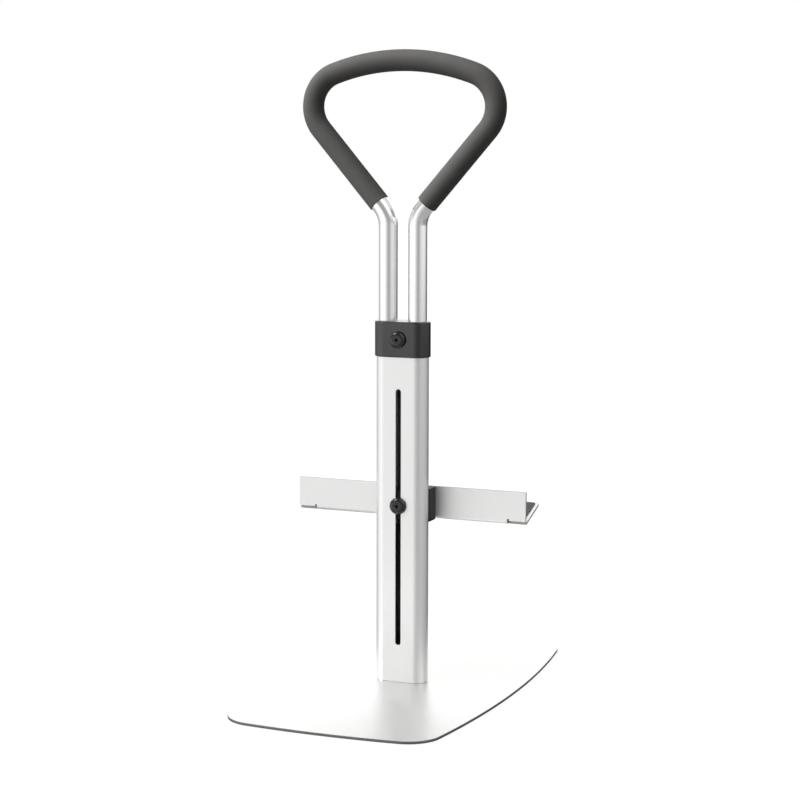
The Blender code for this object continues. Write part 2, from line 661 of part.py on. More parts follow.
def make_saddle(slide):
    half = COLUMN_WIDTH / 2 + SADDLE_CHEEK_WALL
    corner = (half - SADDLE_ROUNDING, SADDLE_REAR - SADDLE_ROUNDING)
    outline = mirrored([(half, SADDLE_FRONT), *arc(corner, SADDLE_ROUNDING, 0, math.pi / 2)])
    mesh = flat_mesh("guide_saddle", [outline], FLANGE_HEIGHT)
    saddle = add_object("guide_saddle", mesh, BLACK_PLASTIC, slide)
    hollow = obround(COLUMN_WIDTH + 2 * FIT_GAP, COLUMN_DEPTH + 2 * FIT_GAP)
    hollow_mesh = flat_mesh("saddle_hollow", [hollow], 2 * FLANGE_HEIGHT)
    combine(saddle, add_object("saddle_hollow", hollow_mesh, None, slide))
    drill(saddle, "saddle_clamp_hole", CLAMP_HOLE, 2 * COLUMN_DEPTH, (0, SADDLE_REAR, 0), ALONG_Y)
    length = SMALL_SCREW_LENGTH - SHEET + FIT_GAP
    for side in (-1, 1):
        label = "left" if side < 0 else "right"
        x = side * SADDLE_SCREW_SPACING / 2
        drill(saddle, f"saddle_hole_{label}", SMALL_HOLE, 2 * length, (x, SADDLE_REAR, 0), ALONG_Y)
        mesh = profile_mesh(f"saddle_screw_{label}", button_head(SMALL_SCREW_LENGTH))
        place = (x, FLANGE_REAR + FIT_GAP, 0)
        screw = add_object(f"saddle_screw_{label}", mesh, BLACKENED_STEEL, slide, place, FROM_BEHIND)
        turn(screw, SMALL_SIDES)
        hex_recess(screw, f"saddle_screw_socket_{label}", SMALL_SOCKET_WIDTH, SMALL_SOCKET_DEPTH,
                   SMALL_SCREW_HEAD_HEIGHT)


def make_slider(slide):
    """The block in the column's middle channel that the bracket's screw runs through."""
    width = LEG_SPACING - TUBE_DIAMETER - 2 * SLIDE_GAP
    depth = 2 * (CHANNEL_RADIUS - FIT_GAP)
    mesh = box_mesh("slot_slider", (width, depth, SLIDER_HEIGHT))
    slider = add_object("slot_slider", mesh, BLACK_PLASTIC, slide)
    round_edges(slider, SLIDER_ROUNDING)
    drill(slider, "slider_hole", CLAMP_HOLE, 2 * COLUMN_DEPTH, (0, 0, 0), ALONG_Y)


def make_nut(slide):
    middle = FLANGE_REAR + FIT_GAP + NUT_HEIGHT / 2
    radius = NUT_WIDTH / 2 / math.cos(math.pi / 6)
    mesh = cone_mesh("bracket_nut", radius, radius, NUT_HEIGHT, sides=6)
    nut = add_object("bracket_nut", mesh, CLEAR_ZINC, slide, (0, middle, 0), ALONG_Y)
    flange = NUT_FLANGE_DIAMETER / 2
    rim_mesh = cone_mesh("nut_flange", flange, flange, NUT_FLANGE_THICKNESS)
    seat = FLANGE_REAR + FIT_GAP + NUT_FLANGE_THICKNESS / 2
    combine(nut, add_object("nut_flange", rim_mesh, None, slide, (0, seat, 0), ALONG_Y), "UNION")
    drill(nut, "nut_hole", CLAMP_HOLE, 4 * NUT_HEIGHT, (0, middle, 0), ALONG_Y)


def slide_axis(name, level):
    """An empty on the column's axis that carries what moves up and down together."""
    empty = bpy.data.objects.new(name, None)
    empty.location = (0, 0, level)
    PIECES.objects.link(empty)
    return empty


make_floor_plate()
make_floor_pads()
make_column()
make_foot_block()
make_collar()
make_wedges()
collar_seat = -COLLAR_DEPTH / 2 - FIT_GAP
make_clamp_screw("collar_screw", None, collar_seat, COLLAR_MIDDLE, CHANNEL_RADIUS - FIT_GAP)
make_handle(slide_axis("handle_height", HANDLE_LEVEL))
bracket_height = slide_axis("bracket_height", BRACKET_LEVEL)
make_bracket(bracket_height)
make_tongue_pad(bracket_height)
make_saddle(bracket_height)
make_slider(bracket_height)
make_nut(bracket_height)
screw_tip = FLANGE_REAR + FIT_GAP + NUT_HEIGHT + THREAD_BEYOND_NUT
make_clamp_screw("bracket_screw", bracket_height, COLUMN_FRONT - FIT_GAP, 0, screw_tip)
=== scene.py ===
import math

import bmesh
import bpy
from mathutils import Euler, Matrix, Vector


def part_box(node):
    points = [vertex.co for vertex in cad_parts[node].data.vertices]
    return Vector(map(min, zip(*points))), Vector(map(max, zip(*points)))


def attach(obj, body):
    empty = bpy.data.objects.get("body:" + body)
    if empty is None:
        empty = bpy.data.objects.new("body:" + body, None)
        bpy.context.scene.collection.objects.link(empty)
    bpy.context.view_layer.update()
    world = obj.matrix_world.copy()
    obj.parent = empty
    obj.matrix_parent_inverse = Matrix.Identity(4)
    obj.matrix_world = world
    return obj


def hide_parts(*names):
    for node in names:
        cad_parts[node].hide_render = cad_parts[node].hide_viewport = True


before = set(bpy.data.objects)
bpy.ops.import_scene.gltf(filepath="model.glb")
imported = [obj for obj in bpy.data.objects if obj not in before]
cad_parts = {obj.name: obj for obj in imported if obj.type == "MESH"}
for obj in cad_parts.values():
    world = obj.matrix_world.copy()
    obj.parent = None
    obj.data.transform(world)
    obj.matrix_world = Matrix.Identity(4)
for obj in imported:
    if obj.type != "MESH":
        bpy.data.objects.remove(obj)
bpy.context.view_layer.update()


# Camera
# It stands about 3.1 m off and to the right of the column's front, a little above the collar, and looks
# slightly down, so that the upright lines stay nearly parallel. Sizes are in metres, here and below.
CAMERA_DISTANCE = 3.1001
CAMERA_ASIDE = 0.0039
CAMERA_HEIGHT = 0.8374
CAMERA_AZIMUTH = math.radians(22.18)
CAMERA_PITCH = math.radians(7.6)
CAMERA_ROLL = math.radians(0.11)
CAMERA_LENS = 96.43
CAMERA_SENSOR = 36.0

away = Vector((math.sin(CAMERA_AZIMUTH), -math.cos(CAMERA_AZIMUTH), 0)) * CAMERA_DISTANCE
aside = Vector((math.cos(CAMERA_AZIMUTH), math.sin(CAMERA_AZIMUTH), 0)) * CAMERA_ASIDE
turned_round = Matrix.Rotation(CAMERA_AZIMUTH, 4, "Z")
tilted_down = Matrix.Rotation(math.pi / 2 - CAMERA_PITCH, 4, "X")
rolled = Matrix.Rotation(CAMERA_ROLL, 4, "Z")

camera = bpy.data.objects.new("camera", bpy.data.cameras.new("camera"))
camera.data.lens = CAMERA_LENS
camera.data.sensor_width = CAMERA_SENSOR
camera.matrix_world = (Matrix.Translation(away - aside + Vector((0, 0, CAMERA_HEIGHT)))
                       @ turned_round @ tilted_down @ rolled)
bpy.context.scene.collection.objects.link(camera)
bpy.context.scene.camera = camera
bpy.context.scene.view_settings.view_transform = "Standard"


# Studio surround
# A white background, and for the metal to mirror a ring of light: brighter at the sides than towards the
# camera, with a key box high on the left and a fill box high on the right. Dull surfaces are lit by one
# broad soft light from the key's side.
SURROUND_BRIGHTEST = 1.5
# Brightness round the object, by the angle in degrees from the front (-Y) towards +X: below the horizon,
# at it, and above it
LOW_RING = {-180: 0.90, -172: 1.10, -145: 1.00, -132: 0.42, -120: 0.40, -100: 0.58, -85: 0.76, -68: 1.24,
            -45: 1.26, -32: 1.42, -25: 1.06, -18: 0.88, -10: 0.76, 5: 0.64, 18: 0.46, 32: 0.42, 45: 0.50,
            60: 0.58, 75: 0.40, 110: 0.30, 128: 0.33, 145: 0.14, 156: 0.004, 170: 0.10, 180: 0.90}
LEVEL_RING = {-180: 0.90, -172: 1.10, -145: 1.00, -132: 0.45, -118: 0.54, -97: 0.70, -84: 1.06, -70: 1.34,
              -25: 1.50, -12: 1.48, 0: 1.04, 12: 0.62, 24: 0.40, 34: 0.42, 48: 0.74, 62: 1.10, 78: 1.34,
              110: 1.42, 122: 0.96, 140: 0.44, 156: 0.02, 170: 0.10, 180: 0.90}
HIGH_RING = {-180: 1.40, -110: 1.40, -85: 0.75, -60: 0.40, -25: 0.32, 0: 0.34, 20: 0.38, 45: 0.36, 70: 0.25,
             120: 0.20, 145: 1.20, 160: 1.40, 180: 1.40}
OVERHEAD = 0.16
UNDERNEATH = 0.45
# Where each of these lights passes over into the next, as sines of the height above the horizon
UNDERNEATH_TO_LOW = (-0.56, -0.38)
LOW_TO_LEVEL = (-0.12, -0.05)
LEVEL_TO_HIGH = (0.01, 0.11)
HIGH_TO_OVERHEAD = (0.50, 0.75)
# A soft box is a round glow on the sky, in degrees: its angle, its height, and how far from its middle it
# ends and is full
KEY_BOX = (-50, 42, 17, 5)
KEY_BRIGHTNESS = 8.0
FILL_BOX = (75, 48, 46, 16)
FILL_BRIGHTNESS = 1.20
SOFT_BOX = (-60, 44, 52, 5)
SOFT_BRIGHTNESS = 4.9
SOFT_LEAST = 0.02


class Wire:
    """One output socket of a node tree. Sums and products of wires add the tree's Math nodes."""

    def __init__(self, tree, socket=None):
        self.tree = tree
        self.socket = socket

    def node(self, kind, settings=None, inputs=None, output=0):
        """Adds a node: its settings come first, then the values or wires of its input sockets."""
        made = self.tree.nodes.new(kind)
        for name, value in (settings or {}).items():
            if name == "stops":
                set_stops(made.color_ramp, value)
            else:
                setattr(made, name, value)
        for name, value in (inputs or {}).items():
            if isinstance(value, Wire):
                self.tree.links.new(value.socket, made.inputs[name])
            else:
                made.inputs[name].default_value = value
        return Wire(self.tree, made.outputs[output] if made.outputs else None)

    def other(self, output):
        """Another output of the same node."""
        return Wire(self.tree, self.socket.node.outputs[output])

    def math(self, operation, *values):
        """A Math node on this wire and other values."""
        return self.node("ShaderNodeMath", {"operation": operation}, dict(enumerate((self, *values))))

    def smooth_step(self, start, end):
        """0 below start, 1 above end, and a soft step between them."""
        inputs = {"Value": self, "From Min": start, "From Max": end}
        return self.node("ShaderNodeMapRange", {"interpolation_type": "SMOOTHSTEP"}, inputs)

    def towards(self, value, amount):
        """This wire where the amount is 0, the other value where it is 1."""
        return self + (value - self) * amount

    def __add__(self, value):
        return self.math("ADD", value)

    __radd__ = __add__

    def __sub__(self, value):
        return self.math("SUBTRACT", value)

    def __rsub__(self, value):
        return self.math("MULTIPLY_ADD", -1.0, value)

    def __mul__(self, value):
        return self.math("MULTIPLY", value)

    __rmul__ = __mul__

    def __truediv__(self, value):
        return self.math("DIVIDE", value)


def set_stops(ramp, stops):
    """Fills a colour ramp with greys, given by their places from 0 to 1."""
    while len(ramp.elements) < len(stops):
        ramp.elements.new(0.5)
    for element, (place, value) in zip(ramp.elements, sorted(stops.items())):
        element.position = place
        element.color = (value, value, value, 1)


def round_the_horizon(levels):
    """The stops of a ramp that runs once round the horizon."""
    return {(angle + 180) / 360: level / SURROUND_BRIGHTEST for angle, level in levels.items()}


def soft_box(direction, angle, rise, outer, inner):
    """A soft box's glow, from 0 outside its outer angle to 1 within its inner one."""
    angle, rise, outer, inner = (math.radians(value) for value in (angle, rise, outer, inner))
    middle = (math.sin(angle) * math.cos(rise), -math.cos(angle) * math.cos(rise), math.sin(rise))
    inputs = {0: direction, 1: middle}
    nearness = direction.node("ShaderNodeVectorMath", {"operation": "DOT_PRODUCT"}, inputs, "Value")
    return nearness.smooth_step(math.cos(outer), math.cos(inner))


world = bpy.data.worlds.new("studio")
world.use_nodes = True
world.node_tree.nodes.clear()
start = Wire(world.node_tree)
direction = start.node("ShaderNodeTexCoord")
axes = start.node("ShaderNodeSeparateXYZ", inputs={"Vector": direction})
angle = axes.math("ARCTAN2", 0 - axes.other("Y")) / math.tau + 0.5
low, level, high = (start.node("ShaderNodeValToRGB", {"stops": round_the_horizon(ring)}, {"Fac": angle})
                    for ring in (LOW_RING, LEVEL_RING, HIGH_RING))
to_low = axes.other("Z").smooth_step(*UNDERNEATH_TO_LOW)
to_level = axes.other("Z").smooth_step(*LOW_TO_LEVEL)
to_high = axes.other("Z").smooth_step(*LEVEL_TO_HIGH)
to_overhead = axes.other("Z").smooth_step(*HIGH_TO_OVERHEAD)
lowest = UNDERNEATH / SURROUND_BRIGHTEST
low = (low - lowest) * to_low + lowest
below = low.towards(level, to_level)
above = high.towards(OVERHEAD / SURROUND_BRIGHTEST, to_overhead)
key = soft_box(direction, *KEY_BOX) * KEY_BRIGHTNESS
fill = soft_box(direction, *FILL_BOX) * FILL_BRIGHTNESS
surround = below.towards(above, to_high) * SURROUND_BRIGHTEST + key + fill
soft = soft_box(direction, *SOFT_BOX) * SOFT_BRIGHTNESS + SOFT_LEAST
seen = start.node("ShaderNodeLightPath")
mirrored_light = seen.other("Is Glossy Ray")
strength = seen + (1 - seen) * soft.towards(surround, mirrored_light)
background = start.node("ShaderNodeBackground", inputs={"Color": (1, 1, 1, 1), "Strength": strength})
start.node("ShaderNodeOutputWorld", inputs={"Surface": background})
bpy.context.scene.world = world


# Studio floor
# A plain pale floor, a hair below the pads. To the camera it is as white as the background, apart from
# the object's soft shadow. Metal doesn't mirror it, but sees the surround below the horizon in its place.
FLOOR_SIDE = 24.0
FLOOR_DROP = 0.0002
FLOOR_GREY = 0.12
FLOOR_GLOW = 0.937


def add_object(name, data):
    """Puts a mesh or a curve in the scene."""
    thing = bpy.data.objects.new(name, data)
    bpy.context.scene.collection.objects.link(thing)
    return thing


def at_height(level):
    """A place on the Z axis."""
    return Matrix.Translation((0, 0, level))


def new_material(name):
    """A material with an empty node tree, and the start of its wires."""
    material = bpy.data.materials.new(name)
    material.use_nodes = True
    material.node_tree.nodes.clear()
    return material, Wire(material.node_tree)


floor = add_object("studio_floor", bpy.data.meshes.new("studio_floor"))
bm = bmesh.new()
bmesh.ops.create_grid(bm, x_segments=1, y_segments=1, size=FLOOR_SIDE / 2, matrix=at_height(-FLOOR_DROP))
bm.to_mesh(floor.data)
bm.free()
floor_white, start = new_material("floor_white")
seen = start.node("ShaderNodeLightPath")
paint = start.node("ShaderNodeBsdfDiffuse", inputs={"Color": (FLOOR_GREY, FLOOR_GREY, FLOOR_GREY, 1)})
glow = start.node("ShaderNodeEmission", inputs={"Strength": seen * FLOOR_GLOW})
both = start.node("ShaderNodeAddShader", inputs={0: paint, 1: glow})
start.node("ShaderNodeOutputMaterial", inputs={"Surface": both})
floor.data.materials.append(floor_white)
floor.visible_glossy = False


# Floor plate
# One sheet of 4 mm aluminium, laser cut with four bowed sides and round corners, its rims rounded over
# and silver anodised to a satin. Its cut edge is painted a darker grey than the faces, as painted shade
# for the dark surround that it mirrors.
PLATE_SIDE_RADIUS = 1.75
PLATE_END_RADIUS = 1.15
PLATE_CORNER_RADIUS = 0.050
PLATE_RIM = 0.0012
SCREW_SPACING = 0.023
PLATE_SCREW_SHANK = 0.008
PLATE_SCREW_SINK = 0.0037
PLATE_SCREW_RIM = 0.0005
FIT_GAP = 0.0003
ROUND_STEPS = 64
ARC_ERROR = 0.00001
WELD = 0.000005
FLAT_ANGLE = math.radians(0.05)
SHEET_SILVER = (0.80, 0.80, 0.795)
# Painted shade: the plate's cut edge is painted this dark grey for the shade and dark reflections on it
PLATE_EDGE_PAINTED_SHADE = (0.16, 0.16, 0.155)
# Least share of a normal along Z on the plate's broad faces
BROAD_FACE = 0.93
PLATE_ROUGHNESS = 0.35
CUT_EDGE_DULLER = 0.15
ROLLED_GRAIN = 0.004
ROLLED_STRETCH = 0.04
ROLLED_DULLER = 0.04
ETCHED_GRAIN = 0.0006
ETCHED_SHARE = 0.6
SHEET_RELIEF = 0.000003


def arc(centre, radius, start_angle, end_angle):
    """Points on a circle's arc, both ends included, never further than ARC_ERROR from the true arc."""
    step = 2 * math.acos(1 - ARC_ERROR / radius)
    count = max(2, math.ceil(abs(end_angle - start_angle) / step))
    angles = [start_angle + (end_angle - start_angle) * i / count for i in range(count + 1)]
    return [(centre[0] + radius * math.cos(a), centre[1] + radius * math.sin(a)) for a in angles]


def mirrored(points):
    """The outline that a run of points at X >= 0 makes with its mirror image."""
    return points + [(-x, y) for x, y in reversed(points) if x > WELD]


def add_spline(curve, points):
    """A run of straight lines through points."""
    spline = curve.splines.new("POLY")
    spline.points.add(len(points) - 1)
    for point, place in zip(spline.points, points):
        point.co = (*place, 1)
    return spline


def extrude(name, loops, thickness, place=Matrix.Identity(4)):
    """A solid with any flat outline in local XY, its thickness centred on local Z."""
    curve = bpy.data.curves.new(name, "CURVE")
    curve.dimensions = "2D"
    curve.fill_mode = "BOTH"
    curve.extrude = thickness / 2
    for loop in loops:
        add_spline(curve, [(x, y, 0) for x, y in loop]).use_cyclic_u = True
    source = add_object(name + "_outline", curve)
    graph = bpy.context.evaluated_depsgraph_get()
    mesh = bpy.data.meshes.new_from_object(source.evaluated_get(graph))
    bpy.data.objects.remove(source)
    bpy.data.curves.remove(curve)
    mesh.transform(place)
    tidy(mesh)
    return add_object(name, mesh)


def tidy(mesh, flatten=True):
    """Welds a mesh, merges what is flat, and turns its faces outwards."""
    bm = bmesh.new()
    bm.from_mesh(mesh)
    bmesh.ops.remove_doubles(bm, verts=bm.verts, dist=WELD)
    if flatten:
        bmesh.ops.dissolve_limit(bm, angle_limit=FLAT_ANGLE, verts=bm.verts, edges=bm.edges)
    bmesh.ops.recalc_face_normals(bm, faces=bm.faces)
    bm.to_mesh(mesh)
    bm.free()
    mesh.shade_smooth()


def turned(name, profile, place=Matrix.Identity(4), steps=ROUND_STEPS):
    """A solid turned round local Z. Its profile, radius and height, runs from the top down its outside."""
    mesh = bpy.data.meshes.new(name)
    edges = [(i, i + 1) for i in range(len(profile) - 1)]
    mesh.from_pydata([(radius, 0, level) for radius, level in profile], edges, [])
    thing = add_object(name, mesh)
    screw = thing.modifiers.new("turn", "SCREW")
    screw.steps = steps
    screw.render_steps = steps
    screw.use_merge_vertices = True
    screw.merge_threshold = WELD
    settle(thing)
    thing.data.transform(place)
    tidy(thing.data, flatten=False)
    return thing


def settle(thing):
    """Turns an object with its modifiers into a plain mesh."""
    graph = bpy.context.evaluated_depsgraph_get()
    mesh = bpy.data.meshes.new_from_object(thing.evaluated_get(graph), depsgraph=graph)
    thing.modifiers.clear()
    old = thing.data
    thing.data = mesh
    bpy.data.meshes.remove(old)


def combine(thing, others, operation="DIFFERENCE"):
    """Cuts with, joins or intersects other solids, which are then cleared away."""
    for other in others:
        boolean = thing.modifiers.new(other.name, "BOOLEAN")
        boolean.operation = operation
        boolean.solver = "EXACT"
        boolean.object = other
    settle(thing)
    for other in others:
        bpy.data.meshes.remove(other.data)
    tidy(thing.data)


def round_edges(thing, width, segments=3, angle=40):
    """Rounds every edge sharper than an angle, and keeps the flat faces flat to the light."""
    bevel = thing.modifiers.new("rounding", "BEVEL")
    bevel.width = width
    bevel.segments = segments
    bevel.limit_method = "ANGLE"
    bevel.angle_limit = math.radians(angle)
    bevel.miter_outer = "MITER_ARC"
    settle(thing)


def shade(thing, sharp_angle=35):
    """Smooth shading, weighted so that large flat faces stay flat."""
    thing.data.shade_smooth()
    thing.data.set_sharp_from_angle(angle=math.radians(sharp_angle))
    weighted = thing.modifiers.new("weighted", "WEIGHTED_NORMAL")
    weighted.keep_sharp = True
    settle(thing)


def countersunk(length, gap=0.0, over=0.0):
    """The profile of a countersunk screw or, with a gap round it, of its hole."""
    shank = PLATE_SCREW_SHANK / 2 + gap
    head = shank + PLATE_SCREW_SINK - PLATE_SCREW_RIM
    return [(0, over), (head, over), (head, -PLATE_SCREW_RIM - gap), (shank, -PLATE_SCREW_SINK - gap),
            (shank, -length - over), (0, -length - over)]


def plate_outline(width, length):
    """Two long and two short bows, with rounded corners tangent to both."""
    side_centre = Vector((width / 2 - PLATE_SIDE_RADIUS, 0))
    end_centre = Vector((0, length / 2 - PLATE_END_RADIUS))
    to_side = PLATE_SIDE_RADIUS - PLATE_CORNER_RADIUS
    to_end = PLATE_END_RADIUS - PLATE_CORNER_RADIUS
    between = end_centre - side_centre
    along = (to_side ** 2 - to_end ** 2 + between.length_squared) / (2 * between.length)
    across = math.sqrt(to_side ** 2 - along ** 2)
    unit = between.normalized()
    corner = side_centre + unit * along + Vector((-unit.y, unit.x)) * across
    first = math.atan2(corner.y, corner.x - side_centre.x)
    last = math.atan2(corner.y - end_centre.y, corner.x)
    side = arc(side_centre, PLATE_SIDE_RADIUS, 0, first)
    end = arc(end_centre, PLATE_END_RADIUS, last, math.pi / 2)
    rear = mirrored(side[:-1] + arc(corner, PLATE_CORNER_RADIUS, first, last) + end[1:])
    return rear + [(x, -y) for x, y in reversed(rear) if y > WELD]


def mark_faces(thing, label, belongs):
    """Stores 1 on the faces that belong to a kind, such as the cut edges, and 0 on the others."""
    marks = thing.data.attributes.new(label, "FLOAT", "FACE")
    marks.data.foreach_set("value", [float(belongs(face)) for face in thing.data.polygons])


def marked(start, label):
    """The 1 or 0 that mark_faces stored."""
    return start.node("ShaderNodeAttribute", {"attribute_name": label}, output="Fac")


def principled(start, **inputs):
    """Ends a material in a Principled shader. Underscores in the names stand for spaces."""
    named = {name.replace("_", " "): value for name, value in inputs.items()}
    shader = start.node("ShaderNodeBsdfPrincipled", inputs=named)
    start.node("ShaderNodeOutputMaterial", inputs={"Surface": shader})


def grain(start, size, stretch=(1, 1, 1), detail=3.0):
    """Noise from 0 to 1 on the object's own coordinates, with a grain size in metres."""
    coordinates = start.node("ShaderNodeTexCoord", output="Object")
    mapped = start.node("ShaderNodeMapping", inputs={"Vector": coordinates, "Scale": stretch})
    return start.node("ShaderNodeTexNoise", inputs={"Vector": mapped, "Scale": 1 / size, "Detail": detail})


def bump(start, height, depth):
    """A normal with relief: a height from 0 to 1 that stands for a depth in metres."""
    return start.node("ShaderNodeBump", inputs={"Height": height, "Distance": depth, "Strength": 1.0})


def blend_colours(start, amount, first, second):
    """The first colour where the amount is 0, the second where it is 1."""
    inputs = {"Factor": amount, 6: first if isinstance(first, Wire) else (*first, 1), 7: (*second, 1)}
    return start.node("ShaderNodeMix", {"data_type": "RGBA"}, inputs, output=2)


def mixed(first, second, share):
    """Two patterns in one: the first by its share, and the second by the rest."""
    return first * share + second * (1 - share)


def satin_sheet(name, stretch, roughness, edge_painted_shade):
    """Anodised sheet: a faint rolled grain, a fine etched satin, and cut edges painted darker as shade."""
    material, start = new_material(name)
    edge = marked(start, "cut_edge")
    rolled = grain(start, ROLLED_GRAIN, stretch)
    etched = grain(start, ETCHED_GRAIN)
    # Painted shade: the cut edges take a darker grey that stands in for the shade and dark reflections on
    # them
    colour = blend_colours(start, edge, SHEET_SILVER, edge_painted_shade)
    dullness = roughness + ROLLED_DULLER * rolled + CUT_EDGE_DULLER * edge
    relief = bump(start, mixed(etched, rolled, ETCHED_SHARE), SHEET_RELIEF)
    principled(start, Base_Color=colour, Metallic=1.0, Roughness=dullness, Normal=relief)
    return material


plate_low, plate_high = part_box("base_plate")
plate_size = plate_high - plate_low
plate_middle = Matrix.Translation((plate_low + plate_high) / 2)
outline = plate_outline(plate_size.x, plate_size.y)
floor_plate = extrude("floor_plate", [outline], plate_size.z, plate_middle)
round_edges(floor_plate, PLATE_RIM, segments=5)
from_below = at_height(plate_low.z) @ Matrix.Rotation(math.pi, 4, "X")
holes = []
for x in (-SCREW_SPACING, 0, SCREW_SPACING):
    profile = countersunk(plate_size.z, FIT_GAP, plate_size.z)
    holes.append(turned("screw_hole", profile, Matrix.Translation((x, 0, 0)) @ from_below))
combine(floor_plate, holes)
shade(floor_plate)
mark_faces(floor_plate, "cut_edge", lambda face: abs(face.normal.z) < BROAD_FACE)
plate_satin = satin_sheet("plate_satin", (1, ROLLED_STRETCH, 1), PLATE_ROUGHNESS, PLATE_EDGE_PAINTED_SHADE)
floor_plate.data.materials.append(plate_satin)
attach(floor_plate, "base")
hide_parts("base_plate")


# Floor pads
# Six thin anti-slip discs of black rubber, punched from sheet and glued under the plate, two rows of
# three along its sides.
PAD_RIM = 0.0003
PAD_GRAIN = 0.0005
PAD_RELIEF = 0.00005
PAD_ROUGHNESS = 0.75
RUBBER_BLACK = (0.035, 0.035, 0.034)
# Width of the paler clouds in the rubber, in grains
RUBBER_CLOUD = 40
RUBBER_PALER = 1.25
RUBBER_DULLER = 0.1


def geometry_tree(name, sizes):
    """A Geometry Nodes tree with a named input for each size, and the wires of those inputs."""
    tree = bpy.data.node_groups.new(name, "GeometryNodeTree")
    for label, kind in sizes.items():
        tree.interface.new_socket(label, in_out="INPUT", socket_type="NodeSocket" + kind)
    tree.interface.new_socket("Mesh", in_out="OUTPUT", socket_type="NodeSocketGeometry")
    start = Wire(tree)
    entry = start.node("NodeGroupInput")
    return tree, start, {label: entry.other(label) for label in sizes}


def end_tree(start, geometry, material):
    """The last nodes of every tree: the instances made real, and their material."""
    real = start.node("GeometryNodeRealizeInstances", inputs={"Geometry": geometry})
    painted = start.node("GeometryNodeSetMaterial", inputs={"Geometry": real, "Material": material})
    start.node("NodeGroupOutput", inputs={"Mesh": painted})


def run_tree(name, tree, values):
    """The plain mesh that a tree makes from its values."""
    thing = add_object(name, bpy.data.meshes.new(name))
    modifier = thing.modifiers.new(name, "NODES")
    modifier.node_group = tree
    for item in tree.interface.items_tree:
        if item.in_out == "INPUT":
            modifier[item.identifier] = values[item.name]
    settle(thing)
    return thing


def set_out_tree(material):
    """Copies of one shape in rows and columns."""
    sizes = {"Shape": "Object", "Columns": "Int", "Rows": "Int", "Across": "Float", "Along": "Float"}
    tree, start, given = geometry_tree("set_out", sizes)
    grid = start.node("GeometryNodeMeshGrid", inputs={
        "Vertices X": given["Columns"], "Vertices Y": given["Rows"],
        "Size X": given["Across"], "Size Y": given["Along"]})
    shape = start.node("GeometryNodeObjectInfo", inputs={"Object": given["Shape"]}, output="Geometry")
    copies = start.node("GeometryNodeInstanceOnPoints", inputs={"Points": grid, "Instance": shape})
    end_tree(start, copies, material)
    return tree


def set_out(name, shape, material, columns, rows, across, along, place):
    """Sets copies of a shape out on a grid, moves them into place and clears the shape away."""
    values = {"Shape": shape, "Columns": columns, "Rows": rows, "Across": across, "Along": along}
    thing = run_tree(name, set_out_tree(material), values)
    bpy.data.meshes.remove(shape.data)
    thing.data.transform(place)
    shade(thing)
    return thing


def scaled(colour, factor):
    """A colour made paler or darker."""
    return tuple(channel * factor for channel in colour)


def rubber(name, colour, size, depth, roughness, shine=0.5):
    """Matt rubber with a fine moulded grain and a slightly uneven colour."""
    material, start = new_material(name)
    fine = grain(start, size)
    cloudy = grain(start, size * RUBBER_CLOUD, detail=1.0)
    tint = blend_colours(start, cloudy, colour, scaled(colour, RUBBER_PALER))
    relief = bump(start, fine, depth)
    dullness = roughness + RUBBER_DULLER * fine
    principled(start, Base_Color=tint, Roughness=dullness, Specular_IOR_Level=shine, Normal=relief)
    return material


pad_rubber = rubber("pad_rubber", RUBBER_BLACK, PAD_GRAIN, PAD_RELIEF, PAD_ROUGHNESS)
first_low, first_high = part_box("floor_pad_1")
last_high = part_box("floor_pad_6")[1]
pad_radius = (first_high.x - first_low.x) / 2
pad_top = first_high.z
spread = last_high - first_high
pad_profile = [(0, pad_top), *arc((pad_radius - PAD_RIM, pad_top - PAD_RIM), PAD_RIM, math.pi / 2, 0),
               *arc((pad_radius - PAD_RIM, PAD_RIM), PAD_RIM, 0, -math.pi / 2), (0, 0)]
floor_pads = set_out("floor_pads", turned("pad_shape", pad_profile), pad_rubber, 2, 3, spread.x, spread.y,
                     Matrix.Identity(4))
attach(floor_pads, "base")
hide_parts(*[f"floor_pad_{number}" for number in range(1, 7)])


# Countersunk screws
# Three M8 machine screws of zinc plated steel come up through the plate into the block inside the
# column's foot, flush with the plate's underside.
PLATE_SCREW_LENGTH = 0.028
PLATE_SOCKET_WIDTH = 0.005
PLATE_SOCKET_DEPTH = 0.0025
ZINC = (0.66, 0.67, 0.69)
ZINC_BLOOM = (0.5676, 0.5896, 0.6348)
ZINC_BLOOM_SIZE = 0.003
ZINC_ROUGHNESS = 0.30
ZINC_BLOOM_DULLER = 0.16
ZINC_GRAIN = 0.0004
ZINC_RELIEF = 0.000006


def to_corner(width):
    """How far a hexagon's corners are from its middle, by its width across the flats."""
    return width / 2 / math.cos(math.pi / 6)


def hexagon(width):
    """The outline of a hexagon, by its width across the flats."""
    radius = to_corner(width)
    return [(radius * math.cos(i * math.pi / 3), radius * math.sin(i * math.pi / 3)) for i in range(6)]


def hex_socket(width, depth, top):
    """A hexagon recess's cutter, open at the top of a screw that lies along local Z."""
    return extrude("hex_socket", [hexagon(width)], 2 * depth, at_height(top))


def zinc_plate(name):
    """Clear zinc plating: pale, half bright, with a cloudy bloom."""
    material, start = new_material(name)
    bloom = grain(start, ZINC_BLOOM_SIZE, detail=4.0)
    colour = blend_colours(start, bloom, ZINC, ZINC_BLOOM)
    relief = bump(start, grain(start, ZINC_GRAIN), ZINC_RELIEF)
    dullness = ZINC_ROUGHNESS + ZINC_BLOOM_DULLER * bloom
    principled(start, Base_Color=colour, Metallic=1.0, Roughness=dullness, Normal=relief)
    return material


clear_zinc = zinc_plate("clear_zinc")
screw_shape = turned("countersunk_shape", countersunk(PLATE_SCREW_LENGTH))
combine(screw_shape, [hex_socket(PLATE_SOCKET_WIDTH, PLATE_SOCKET_DEPTH, 0)])
plate_screws = set_out("countersunk_screws", screw_shape, clear_zinc, 3, 1, 2 * SCREW_SPACING, 0,
                       from_below)
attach(plate_screws, "base")
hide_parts("plate_screw_1", "plate_screw_2", "plate_screw_3")


